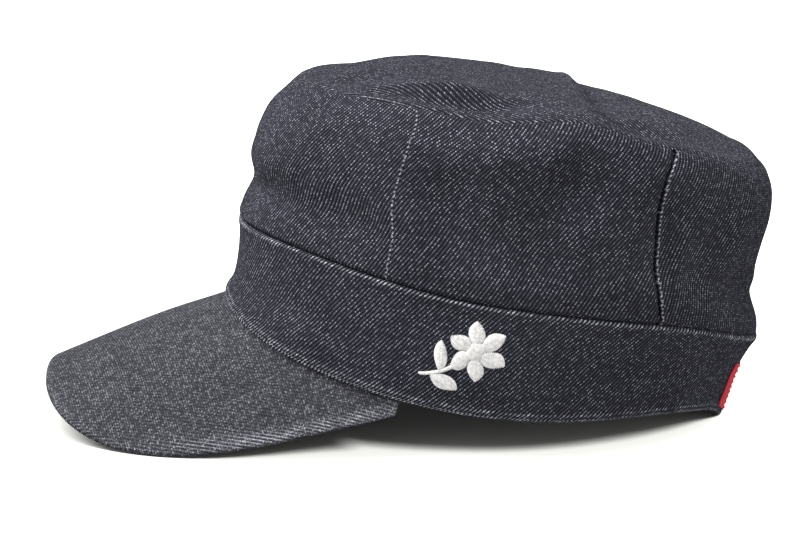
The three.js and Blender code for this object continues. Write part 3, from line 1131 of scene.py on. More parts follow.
@dataclass(frozen=True, kw_only=True)
class Finish:
    """A material's shader and what all finishes share: sheen, and relief in millimetres."""

    name: str
    depth: float = 0.0
    sheen: float = 0.0
    sheen_roughness: float = 0.5
    sheen_tint: Colour = (1.0, 1.0, 1.0)

    def start(self) -> tuple:
        """Makes the material.

        Returns:
            The material, its board and its shader.
        """
        material = bpy.data.materials.new(self.name)
        material.use_nodes = True
        board = NodeBoard(material.node_tree)
        shader = material.node_tree.nodes["Principled BSDF"]
        shader.inputs["Sheen Weight"].default_value = self.sheen
        shader.inputs["Sheen Roughness"].default_value = self.sheen_roughness
        shader.inputs["Sheen Tint"].default_value = (*self.sheen_tint, 1)
        shader.inputs["Specular IOR Level"].default_value = 0.0
        return material, board, shader

    def bump(self, board: NodeBoard, shader: bpy.types.Node, height: object) -> None:
        """Raises the surface by a height from 0 to 1 that stands for its depth.

        Args:
            board: The material's board.
            shader: Its shader.
            height: The height.
        """
        node = board.add("ShaderNodeBump")
        node.inputs["Distance"].default_value = self.depth * MM
        board.plug(node.inputs["Height"], height)
        board.plug(shader.inputs[Socket.NORMAL.value], node.outputs[0])


@dataclass(frozen=True, kw_only=True)
class DenimFinish(Finish):
    """Raw denim: warp, paler warp, weft and bare colours, the last for rubbing and painted highlight on
    edges, with yarn spaces in millimetres.

    dot, grit: how wide the weft shows, and the share of it that is loose speckle.
    show: how much of the weft shows at all.
    toned, even: how much of that follows the dye's tone, and how much doesn't.
    """

    twill: bpy.types.NodeTree
    warp: Colour = (0.0100, 0.0099, 0.0140)
    faded: Colour = (0.0170, 0.0167, 0.0228)
    weft: Colour = (0.235, 0.248, 0.285)
    bare: Colour = (0.46, 0.475, 0.52)
    end: float = 0.42
    pick: float = 0.58
    dot: float = 0.6
    grit: float = 0.0
    show: float = 1.0
    toned: float = 0.25
    even: float = 0.85
    tone_fade: tuple[float, float] = (0.25, 0.75)
    roughness: tuple[float, float] = (0.92, 0.8)
    depth: float = 0.26
    sheen: float = 0.02
    sheen_roughness: float = 0.45
    sheen_tint: Colour = (0.80, 0.78, 0.92)

    def make(self) -> bpy.types.Material:
        """Makes the material.

        Returns:
            The material.
        """
        material, board, shader = self.start()
        wear_and_highlight, seam = board.of_piece("wear_and_highlight"), board.of_piece("seam")
        weave = board.add("ShaderNodeGroup", node_tree=self.twill)
        given = {"Cloth": board.cloth(), "Wear and highlight": wear_and_highlight, "Seam": seam}
        given |= {"End": self.end, "Pick": self.pick, "Dot": self.dot, "Grit": self.grit}
        for name, value in given.items():
            board.plug(weave.inputs[name], value)
        tone = board.ramp(weave.outputs["Tone"], *self.tone_fade)
        ground = board.blend(tone, (*self.warp, 1), (*self.faded, 1))
        shown = board.times(weave.outputs["Weft"], board.scaled(tone, self.toned, self.even * self.show))
        # Edges turn paler by the mask, which is partly real rubbing and partly painted highlight where
        # folds catch the light; seam dots pale the same way.
        pale = board.blend(board.math("MAXIMUM", wear_and_highlight, seam), (*self.weft, 1), (*self.bare, 1))
        board.plug(shader.inputs[Socket.COLOUR.value], board.blend(shown, ground, pale))
        board.plug(shader.inputs[Socket.ROUGHNESS.value], board.ramp(shown, 0.0, 1.0, *self.roughness))
        self.bump(board, shader, weave.outputs["Relief"])
        return material


@dataclass(frozen=True, kw_only=True)
class TapeFinish(Finish):
    """Woven tape with fine ribs across it.

    rib, pick: millimetres between ribs, and between the yarns across them.
    mottle_scale: how often its tone varies, on top of the painted shade in the valleys between ribs.
    """

    thread: Colour = (0.62, 0.022, 0.035)
    shade: Colour = (0.30, 0.008, 0.016)
    rib: float = 0.45
    pick: float = 0.315
    rib_shade: tuple[float, float] = (-0.1, 0.5)
    mottle_scale: float = 0.3
    roughness: tuple[float, float] = (0.8, 0.6)
    depth: float = 0.12
    sheen: float = 0.2
    sheen_roughness: float = 0.4
    sheen_tint: Colour = (1.0, 0.75, 0.75)

    def make(self) -> bpy.types.Material:
        """Makes the material.

        Returns:
            The material.
        """
        material, board, shader = self.start()
        cloth = board.cloth()
        waves = [
            board.math("COSINE", board.times(place, 2 * math.pi / space))
            for place, space in zip(board.split(cloth), (self.rib, self.pick))
        ]
        height = board.times(board.plus(*waves), 0.25)
        # Rib valleys take the darker shade colour: painted shade between the ribs, on a random mottle.
        ribs = board.ramp(height, -0.5, 0.5, *self.rib_shade)
        tone = board.plus(ribs, board.noise(cloth, self.mottle_scale, 3))
        colour = board.blend(tone, (*self.shade, 1), (*self.thread, 1))
        board.plug(shader.inputs[Socket.COLOUR.value], colour)
        board.plug(shader.inputs[Socket.ROUGHNESS.value], board.ramp(height, -0.5, 0.5, *self.roughness))
        self.bump(board, shader, height)
        return material


@dataclass(frozen=True, kw_only=True)
class ThreadFinish(Finish):
    """Twisted embroidery thread, with its plies slanting round it.

    plies, turns: how often the slant repeats round the thread, and along it.
    ply_shade, mottle_scale, tone_fade: how much painted shade darkens the grooves between plies, and how
    its tone varies.
    """

    thread: Colour = (0.76, 0.75, 0.73)
    shade: Colour = (0.46, 0.455, 0.45)
    plies: float = 3
    turns: float = 7
    ply_shade: float = 0.18
    mottle_scale: float = 900
    tone_fade: tuple[float, float] = (0.25, 0.6)
    roughness: tuple[float, float] = (0.6, 0.42)
    depth: float = 0.05
    sheen: float = 0.3
    sheen_roughness: float = 0.3

    def make(self) -> bpy.types.Material:
        """Makes the material.

        Returns:
            The material.
        """
        material, board, shader = self.start()
        x, y = board.split(board.cloth())
        slant = board.scaled(x, self.plies, board.times(y, self.turns))
        height = board.math("COSINE", board.times(slant, 2 * math.pi))
        place = board.add("ShaderNodeTexCoord").outputs["Object"]
        # Grooves between plies are painted darker as shade, on a random mottle.
        tone = board.scaled(height, self.ply_shade, board.noise(place, self.mottle_scale, 2))
        colour = board.blend(board.ramp(tone, *self.tone_fade), (*self.shade, 1), (*self.thread, 1))
        board.plug(shader.inputs[Socket.COLOUR.value], colour)
        board.plug(shader.inputs[Socket.ROUGHNESS.value], board.ramp(height, -1.0, 1.0, *self.roughness))
        self.bump(board, shader, height)
        return material


@dataclass(frozen=True, kw_only=True)
class FloorFinish(Finish):
    """A matt floor, which throws only part of its light back on what stands there.

    thrown: its colour to all but the camera.
    darker, mottle_scale: its darkest tone as a share of its colour, and how often it varies.
    """

    colour: Colour = (0.57, 0.575, 0.545)
    thrown: Colour = (0.22, 0.22, 0.22)
    darker: float = 0.985
    mottle_scale: float = 6
    roughness: tuple[float, float] = (0.9, 0.95)

    def make(self) -> bpy.types.Material:
        """Makes the material.

        Returns:
            The material.
        """
        material, board, shader = self.start()
        seen = board.add("ShaderNodeLightPath").outputs["Is Camera Ray"]
        mottle = board.noise(board.add("ShaderNodeTexCoord").outputs["Object"], self.mottle_scale, 2)
        darker = tuple(self.darker * value for value in self.colour)
        shown = board.blend(mottle, (*self.colour, 1), (*darker, 1))
        board.plug(shader.inputs[Socket.COLOUR.value], board.blend(seen, (*self.thrown, 1), shown))
        board.plug(shader.inputs[Socket.ROUGHNESS.value], board.ramp(mottle, 0.0, 1.0, *self.roughness))
        return material


@dataclass
class Finishes:
    """Every material of the cap."""

    denim: bpy.types.Material
    peak: bpy.types.Material
    reverse: bpy.types.Material
    tape: bpy.types.Material
    white: bpy.types.Material
    red: bpy.types.Material
    floor: bpy.types.Material

    @classmethod
    def make(cls) -> "Finishes":
        """Makes them all.

        Returns:
            The finishes.
        """
        twill = Twill().group()
        return cls(
            denim=DenimFinish(name="raw denim", twill=twill).make(),
            peak=DenimFinish(
                name="peak denim", twill=twill, weft=(0.27, 0.276, 0.296), pick=0.45, grit=0.85, show=0.8
            ).make(),
            reverse=DenimFinish(
                name="denim reverse", twill=twill, warp=(0.10, 0.11, 0.14), faded=(0.22, 0.24, 0.28),
                weft=(0.42, 0.44, 0.48), dot=1.5, sheen=0.1,
            ).make(),
            tape=TapeFinish(name="red tape").make(),
            white=ThreadFinish(name="white thread").make(),
            red=ThreadFinish(name="red thread", thread=(0.42, 0.02, 0.03), shade=(0.2, 0.01, 0.015)).make(),
            floor=FloorFinish(name="pale floor").make(),
        )


def put_on(piece: bpy.types.Object, *materials: bpy.types.Material) -> None:
    """Gives the piece its materials in this order."""
    for material in materials:
        piece.data.materials.append(material)


def bunched(share: Array, amount: float) -> Array:
    """Shares from 0 to 1, moved closer together near both ends by an amount up to 1."""
    return mix(share, 0.5 - 0.5 * np.cos(math.pi * share), amount)


def finish_sheet(piece: bpy.types.Object, thick: float, *materials: bpy.types.Material) -> None:
    """Makes a laid sheet into cloth of this thickness, with its outer and inner materials.

    Args:
        piece: The sheet.
        thick: Millimetres.
        materials: Outer and inner.
    """
    put_on(piece, *materials)
    give_wall(piece, thick)
    smooth(piece, SHEET_SHARP)


def finish_shell(piece: bpy.types.Object, material: bpy.types.Material) -> None:
    """Makes a closed piece ready, in one material.

    Args:
        piece: The piece.
        material: Its material.
    """
    put_on(piece, material)
    face_outwards(piece)
    smooth(piece, SHELL_SHARP)


@dataclass(frozen=True)
class EdgeLine:
    """A soft line along an edge: how far in its middle lies, how wide it is and how strong."""

    inside: float
    wide: float
    strong: float

    def amount(self, from_edge: Array) -> Array:
        """Its strength, by the distance from the edge."""
        return self.strong * bell((from_edge - self.inside) / self.wide)


@dataclass(frozen=True)
class SewnSide:
    """A panel's side at a seam: how far it rolls in, over what width, how much rubbing and painted
    highlight its edge gets and over what width, how far it stays from the seam's line, and how far in that
    mark lies."""

    deep: float
    wide: float
    rubbed_and_lit: float = 0.0
    rubbed_and_lit_wide: float = 0.42
    apart: float = 0.05
    rubbed_and_lit_at: float = 0.55

    def sunk(self, from_side: Array) -> Array:
        """How deep the cloth lies, in millimetres, by its distance from the seam."""
        return self.deep * bell(from_side / self.wide)

    def wear_and_highlight(self, from_side: Array) -> Array:
        """How much rubbing and painted highlight the cloth gets, by its distance from the seam."""
        return self.rubbed_and_lit * bell((from_side - self.rubbed_and_lit_at) / self.rubbed_and_lit_wide)


@dataclass(frozen=True)
class Rumple:
    """The slight unevenness of soft cloth: waves of a few lengths, each in its own direction.

    high: how far the longest waves stand out, in millimetres.
    lengths: the waves' lengths, in millimetres.
    turn: how far each wave is turned from the last, in degrees.
    bent: how much the waves bend.
    """

    high: float = 0.34
    lengths: tuple[float, ...] = (67, 47, 31, 21, 14)
    turn: float = 137.5
    bent: float = 1.8

    def height(self, flat: Array) -> Array:
        """How far the cloth stands out, by its place in millimetres.

        Args:
            flat: Places on the flat cloth.

        Returns:
            Millimetres out.
        """
        total = np.zeros(len(flat))
        for step, length in enumerate(self.lengths):
            along = turned(flat, step * self.turn) * 2 * math.pi / length
            bend = self.bent * np.sin(along[:, 1] / self.bent)
            total += length / self.lengths[0] * np.sin(along[:, 0] + bend)
        return self.high * total


@dataclass(frozen=True)
class Crown:
    """The crown: four wall panels and the top, sewn with their edges rolled in.

    step, rows: millimetres between a wall's columns of points, and how many rows it has.
    top_columns, top_rows, top_grain, top_crowded: the top panel's grid, its cloth's turn in
    degrees and how much its points crowd towards its edge.
    bunch_across, bunch_up: how much a wall's points crowd at its sides, and at foot and head.
    allowance, allowance_fade, allowance_wall: how far the turned-in cloth reaches from a seam,
    over what width it ends, and how thick it makes the wall.
    radius: the wall's radius on its flat cloth, and level: the share of its height used for it.
    thin_wall, thin_top, thin_wide: the wall's share of thickness at the top seam, and over what.
    loose_from, loose_to, top_loose: where the cloth begins and stops being free to rumple.
    crease_fade: the share of the height over which creases end at the top seam.
    closes: over what width the top panel closes the gap at its seam.
    blouse: how the wall swells out over the band.
    stretch: how far the weave follows the cloth's folded length instead of its height.
    """

    pattern: CapPattern
    finishes: Finishes
    step: float = 0.95
    rows: int = 96
    top_columns: int = 190
    top_rows: int = 170
    top_grain: float = 87
    top_crowded: float = 1.5
    bunch_across: float = 0.8
    bunch_up: float = 0.55
    allowance: float = 7
    allowance_fade: float = 0.8
    allowance_wall: float = 2.6
    radius: float = 86
    level: float = 0.6
    thin_wall: float = 0.2
    thin_top: float = 0.25
    thin_wide: float = 4
    loose_from: tuple[float, float] = (0.28, 0.44)
    loose_to: tuple[float, float] = (0.84, 0.97)
    top_loose: tuple[float, float] = (0.02, 0.14)
    crease_fade: float = 0.08
    closes: float = 3
    fore_over: SewnSide = SewnSide(0.1, 0.3, 0.85, 0.36)
    fore_under: SewnSide = SewnSide(0.1, 0.4)
    aft_under: SewnSide = SewnSide(1.3, 1.3, apart=0.4)
    aft_over: SewnSide = SewnSide(0.2, 0.4, 0.9, 0.36)
    # The top seam's rolled edges get a pale line along the seam: their rubbing, and painted highlight where
    # the edge catches light.
    top_over: SewnSide = SewnSide(0.7, 0.9, 0.4, 0.5)
    top_under: SewnSide = SewnSide(0.9, 1.0, 0.3, 0.5)
    rumple: Rumple = Rumple()
    blouse: EdgeLine = EdgeLine(1.3, 1.8, 2.0)
    stretch: float = 0.2
    wall_creases: tuple[WallFold, ...] = (
        WallFold(93.5, 0.82, 3.2, 0.22, 6, 1.2),
        WallFold(99, 0.72, 3.4, 0.2, 8, -1.3),
        WallFold(106, 0.62, 3.2, 0.25, 10, 0.9),
        WallFold(84, 0.66, 5, 0.2, -14, 0.8),
        WallFold(77, 0.44, 4, 0.24, -18, -1),
        WallFold(70, 0.32, 4, 0.16, -20, 0.7),
        WallFold(58, 0.36, 3.5, 0.18, -16, -0.9),
        WallFold(128, 0.45, 3, 0.22, 8, 1.1),
        WallFold(136, 0.5, 3.6, 0.25, 6, -1.2),
        WallFold(146, 0.56, 3, 0.2, 6, 0.9),
        WallFold(38, 0.62, 5, 0.2, 12, 0.9),
        WallFold(26, 0.34, 6, 0.12, 40, -1.1),
        WallFold(-30, 0.5, 6, 0.2, 16, -0.8),
        WallFold(-72, 0.56, 4, 0.24, 10, 0.9),
        WallFold(-98, 0.44, 4, 0.24, -8, -0.9),
        WallFold(-142, 0.5, 5, 0.22, 8, 0.9),
    )
    top_creases: tuple[TopFold, ...] = (
        TopFold(14, -48, 21, 2.6, -3, 1.4),
        TopFold(17, -54.5, 20, 3.4, -3, -1.8),
        TopFold(-14, 8, 30, 2.6, 55, 0.8),
        TopFold(-20, 12, 28, 5, 55, -0.9),
        TopFold(65.5, 34, 22, 2.6, 94, 1.3),
        TopFold(67.5, -6, 24, 3, 82, 1.0),
        TopFold(73, 30, 24, 3.2, 94, -1.9),
        TopFold(75, -8, 22, 3.6, 80, -1.4),
        TopFold(84, -40, 22, 4, 22, 1.6),
        TopFold(87, -50, 22, 6, 22, -2.6),
        TopFold(98, -6, 34, 5, -74, 1.5),
        TopFold(87, -2, 34, 5, -74, -1.5),
    )

    def build(self) -> None:
        """Builds all five panels."""
        fore, aft = self.pattern.fore_seam, self.pattern.aft_seam
        over, under = (self.fore_over, self.aft_over), (self.fore_under, self.aft_under)
        self.wall("front_panel", "crown_front", (fore.mirrored(), fore), (over[0], over[0]), -7)
        self.wall("left_panel", "crown_left", (fore, aft), under, -1)
        self.wall("back_panel", "crown_back", (aft, aft.round_the_back()), (over[1], over[1]), -15)
        self.wall("right_panel", "crown_right", (aft.mirrored(), fore.mirrored()), under[::-1], 0)
        self.top()

    def corner_facing(self, angle: Array) -> Array:
        """The direction that the corner between the walls and the top looks in.

        Args:
            angle: Radians round.

        Returns:
            A direction for each.
        """
        edge = np.ones_like(angle)
        wall = self.pattern.facing(self.pattern.crown_face, angle, edge)
        return unit(wall + self.pattern.top_facing(angle, edge))

    def wall(
        self, name: str, node: str, seams: tuple[Seam, Seam], sides: tuple[SewnSide, SewnSide], grain: float
    ) -> None:
        """Builds a wall panel.

        Args:
            name: The piece's name.
            node: The solid that it stands for.
            seams: The seams at its first and its other side.
            sides: How those two sides look.
            grain: How far its cloth is turned from upright, in degrees.
        """
        pattern = self.pattern
        wide = abs(seams[1].turns[0] - seams[0].turns[0]) * DEGREE * self.radius
        columns = round(wide / self.step)

        def shape(across: Array, up: Array) -> Laid:
            """Places the wall panel's points.

            Args:
                across: Their shares of the grid across.
                up: Their shares of the grid up.

            Returns:
                The laid cloth.
            """
            across, climb = bunched(across, self.bunch_across), bunched(up, self.bunch_up)
            apart = [side.apart / self.radius for side in sides]
            angle = mix(seams[0].angle(climb) + apart[0], seams[1].angle(climb) - apart[1], across)
            points = pattern.crown_face(angle, climb)
            facing = pattern.facing(pattern.crown_face, angle, climb)
            grid = points.reshape(self.rows + 1, columns + 1, 3)
            tall, along = lengths_along(grid, 0), lengths_along(grid, 1)
            from_top = (tall[-1] - tall).ravel()
            foot = np.tile(grid[0, :, 2], self.rows + 1)
            from_first, from_other = along.ravel(), (along[:, -1:] - along).ravel()
            loose = smoothstep(climb, *self.loose_from) * (1 - smoothstep(climb, *self.loose_to))
            foot_edge, head_edge = pattern.band_top.height(angle), pattern.top_seam.height(angle)
            share = np.clip((points[:, 2] - foot_edge) / (head_edge - foot_edge), 0, 1)
            rumpled = self.rumple.height(np.stack((angle * self.radius, points[:, 2]), axis=-1)) * loose
            creased = folded_out(self.wall_creases, angle, share)
            rumpled = rumpled + creased * smoothstep(1 - share, 0, self.crease_fade)
            sunk = sides[0].sunk(from_first) + sides[1].sunk(from_other) - rumpled
            swollen = self.blouse.amount(points[:, 2] - foot_edge)
            points = points + outwards(angle) * swollen[:, None] - facing * sunk[:, None]
            points = points - self.corner_facing(angle) * self.top_under.sunk(from_top)[:, None]
            level = mix(points[:, 2], tall.ravel() + foot, self.stretch)
            flat = np.stack((pattern.girth(pattern.crown_face, self.level, angle), level), axis=-1)
            seam = np.maximum(sides[0].wear_and_highlight(from_first), sides[1].wear_and_highlight(from_other))
            from_side = np.minimum(from_first, from_other)
            field = pattern.crown_wall / self.allowance_wall
            ends, fade = self.allowance, self.allowance_fade
            wall = mix(1.0, field, smoothstep(from_side, ends - fade, ends + fade))
            wall = np.minimum(wall, mix(self.thin_wall, 1.0, smoothstep(from_top, 0, self.thin_wide)))
            return Laid(points, turned(flat, grain), self.top_under.wear_and_highlight(from_top), wall, seam)

        piece = ClothGrid(name, columns, self.rows).lay(shape)
        finish_sheet(piece, self.allowance_wall, self.finishes.denim, self.finishes.reverse)
        hand_over(piece, (node,))

    def top(self) -> None:
        """Builds the top panel from a grid rounded to a disc."""
        pattern = self.pattern

        def shape(across: Array, up: Array) -> Laid:
            """Places the top panel's points.

            Args:
                across: Their shares of the grid across.
                up: Their shares of the grid up.

            Returns:
                The laid cloth.
            """
            x, y = 2 * across - 1, 2 * up - 1
            disc_x, disc_y = x * np.sqrt(1 - y**2 / 2), y * np.sqrt(1 - x**2 / 2)
            out = np.minimum(np.hypot(disc_x, disc_y), 1)
            out = np.where(out > 1 - TINY, 1.0, 1 - (1 - out) ** self.top_crowded)
            angle = np.arctan2(-disc_y, -disc_x)
            points = pattern.top_face(angle, out)
            edge = pattern.top_face(angle, np.ones_like(angle))
            from_edge = np.linalg.norm(points - edge, axis=-1)
            flat = turned(points[:, :2], self.top_grain)
            lifted = self.rumple.height(points[:, :2])
            lifted = lifted + folded_up(self.top_creases, points[:, 0], points[:, 1])
            lifted = lifted * smoothstep(1 - out, *self.top_loose)
            closed = pattern.gap / 2 * bell(from_edge / self.closes)
            points = points + np.array((0, 0, 1)) * lifted[:, None]
            points = points - self.corner_facing(angle) * self.top_over.sunk(from_edge)[:, None]
            points = points - outwards(angle) * closed[:, None]
            wall = mix(self.thin_top, 1.0, smoothstep(from_edge, 0, self.thin_wide))
            wall = wall * pattern.crown_wall / self.allowance_wall
            return Laid(points, flat, self.top_over.wear_and_highlight(from_edge), wall)

        piece = ClothGrid("top_panel", self.top_columns, self.top_rows).lay(shape)
        finish_sheet(piece, self.allowance_wall, self.finishes.denim, self.finishes.reverse)
        hand_over(piece, ("crown_top",))


@dataclass(frozen=True)
class Band:
    """The band: one strip of denim folded double, with its folds at its top edge and its hem.

    around, section: the grid's columns round the band, and its rows round its section.
    stages, bunch: the shares of those rows at which the outer layer, the top fold, the inner
    layer and the hem's fold start and end, and how much rows crowd at the outer layer's edges.
    level: the share of its height at which its cloth is measured.
    grain: how far its cloth is turned, in degrees.
    top_lip, hem_lip: how its edges stand out.
    top_rubbed_and_lit, hem_rubbed_and_lit: where its folded edges get rubbing and painted highlight.
    """

    pattern: CapPattern
    finishes: Finishes
    around: int = 640
    section: int = 116
    stages: tuple[float, ...] = (0, 0.54, 0.62, 0.92, 1)
    bunch: float = 0.7
    level: float = 0.5
    grain: float = 4
    top_lip: EdgeLine = EdgeLine(1.7, 1.7, 0.4)
    hem_lip: EdgeLine = EdgeLine(2.4, 1.9, 0.5)
    top_rubbed_and_lit: EdgeLine = EdgeLine(0.75, 0.6, 0.85)
    hem_rubbed_and_lit: tuple[EdgeLine, EdgeLine] = (EdgeLine(0.9, 0.8, 1.0), EdgeLine(3.1, 0.5, 0.75))
    folds: tuple[WallFold, ...] = (
        WallFold(46, 0.24, 13, 0.13, 0, 1.7),
        WallFold(40, 0.46, 14, 0.12, 0, -0.8),
        WallFold(66, 0.5, 9, 0.3, 10, -0.6),
        WallFold(110, 0.4, 16, 0.3, 0, -0.7),
        WallFold(-60, 0.4, 14, 0.3, 10, -0.8),
        WallFold(-128, 0.5, 16, 0.3, 0, 0.7),
    )

    def relief(self, angle: Array, up: Array, tall: Array) -> Array:
        """How far the band's outer layer stands out, in millimetres."""
        lips = self.top_lip.amount((1 - up) * tall) + self.hem_lip.amount(up * tall)
        return lips + folded_out(self.folds, angle, up)

    def surface(self, angle: Array, up: Array, out: Array) -> Array:
        """A point out from the band's finished outer face."""
        tall = self.pattern.band_top.height(angle) - self.pattern.hem.height(angle)
        return self.pattern.off_band(angle, up, out + self.relief(angle, up, tall))

    def build(self) -> None:
        """Builds the band as a closed ring."""
        pattern = self.pattern
        half = pattern.band_wall / 2

        def shape(across: Array, up: Array) -> Laid:
            """Places the band's points.

            Args:
                across: Their shares of the grid across.
                up: Their shares of the grid up.

            Returns:
                The laid cloth.
            """
            angle = across * 2 * math.pi
            tall = pattern.band_top.height(angle) - pattern.hem.height(angle)
            face = tall - 2 * half
            fold = math.pi * half
            stage = np.interp(up, self.stages, range(len(self.stages)))
            first, second, third, fourth = (np.clip(stage - start, 0, 1) for start in range(4))
            walked = face * (bunched(first, self.bunch) + third) + fold * (second + fourth)
            outer, top = walked < face, (walked >= face) & (walked < face + fold)
            inner = (walked >= face + fold) & (walked < 2 * face + fold)
            turn = np.where(top, (walked - face) / half, (walked - 2 * face - fold) / half)
            swing = np.where(top, np.sin(turn), -np.sin(turn))
            height = np.select(
                [outer, top, inner],
                [half + walked, tall - half + half * swing, tall - half - (walked - face - fold)],
                half + half * swing,
            )
            depth = np.select(
                [outer, top, inner],
                [0 * walked, half - half * np.cos(turn), 2 * half + 0 * walked],
                half + half * np.cos(turn),
            )
            outside = 1 - depth / (2 * half)
            level = np.clip(height / tall, 0, 1)
            points = pattern.off_band(angle, level, self.relief(angle, level, tall) * outside - depth)
            round_it = pattern.girth(pattern.band_face, self.level, angle)
            flat = np.stack((round_it, walked + pattern.hem.height(angle)), axis=-1)
            # Both folds are painted paler: rubbing, and painted highlight where the folded edge catches
            # light.
            rubbed_and_lit = self.top_rubbed_and_lit.amount(tall - height)
            for line in self.hem_rubbed_and_lit:
                rubbed_and_lit = np.maximum(rubbed_and_lit, line.amount(height))
            return Laid(points, turned(flat, self.grain), outside * rubbed_and_lit)

        piece = ClothGrid("band_cloth", self.around, self.section).lay(shape)
        finish_shell(piece, self.finishes.denim)
        hand_over(piece, ("band",))


@dataclass(frozen=True)
class Peak:
    """The peak: a board between two cloths, turned in along its free edge.

    bunch_across, bunch_out: how much its points crowd at its tips, and at hem and free edge.
    tip: the share of its width over which its tips close.
    hidden_edge: how far in its edge under the band is rounded, in millimetres.
    grain: how far its cloth is turned, in degrees.
    rim_rubbed_and_lit, corner_rubbed_and_lit: where its free edge gets rubbing and painted highlight, all
    along and near its corners.
    corner_from: the shares of its width between which the rubbing near a corner begins.
    """

    pattern: CapPattern
    finishes: Finishes
    columns: int = 300
    rows: int = 150
    bunch_across: float = 0.3
    bunch_out: float = 0.35
    tip: float = 0.012
    hidden_edge: float = 0.3
    grain: float = 74
    rim_rubbed_and_lit: EdgeLine = EdgeLine(1.4, 1.8, 0.3)
    corner_rubbed_and_lit: EdgeLine = EdgeLine(5, 5.5, 0.75)
    corner_from: tuple[float, float] = (0.35, 0.9)

    def build(self) -> None:
        """Builds the peak as a closed shell."""
        pattern, peak = self.pattern, self.pattern.peak

        def shape(across: Array, up: Array) -> Laid:
            """Places the peak's points.

            Args:
                across: Their shares of the grid across.
                up: Their shares of the grid up.

            Returns:
                The laid cloth.
            """
            share = 2 * bunched(across, self.bunch_across) - 1
            upper = up < 0.5
            out = bunched(np.where(upper, 2 * up, 2 - 2 * up), self.bunch_out)
            flat, from_hem = pattern.peak_flat(share, out)
            whole = pattern.peak_flat(share, np.ones_like(share))[1]
            thick = peak.thick * (1 - peak.taper * np.abs(share) ** peak.taper_power)
            thick = thick * np.sqrt(np.clip((1 - np.abs(share)) / self.tip, 0, 1))
            half = np.maximum(thick / 2, TINY)
            from_rim = whole - from_hem
            inside = np.clip(np.minimum(from_hem / self.hidden_edge, from_rim / half), 0, 1)
            rounding = half * (1 - np.sqrt(1 - (1 - inside) ** 2))
            depth = np.where(upper, rounding, thick - rounding)
            points = pattern.peak_face(share, out) - pattern.peak_facing(share, out) * depth[:, None]
            # The free edge is painted paler: rubbing, and painted highlight where the turned edge catches
            # light.
            corner = smoothstep(np.abs(share), *self.corner_from) * self.corner_rubbed_and_lit.amount(from_rim)
            wear_and_highlight = np.where(upper, np.maximum(self.rim_rubbed_and_lit.amount(from_rim), corner), 0)
            return Laid(points, turned(flat[:, ::-1] * (-1, 1), self.grain), wear_and_highlight)

        piece = ClothGrid("peak_cloth", self.columns, self.rows).lay(shape)
        finish_shell(piece, self.finishes.peak)
        hand_over(piece, ("peak",))


@dataclass(frozen=True)
class Stitch:
    """One stitch from one hole to another, with how far its thread stands up at its middle."""

    start: tuple[float, float] | Array
    stop: tuple[float, float] | Array
    lift: float


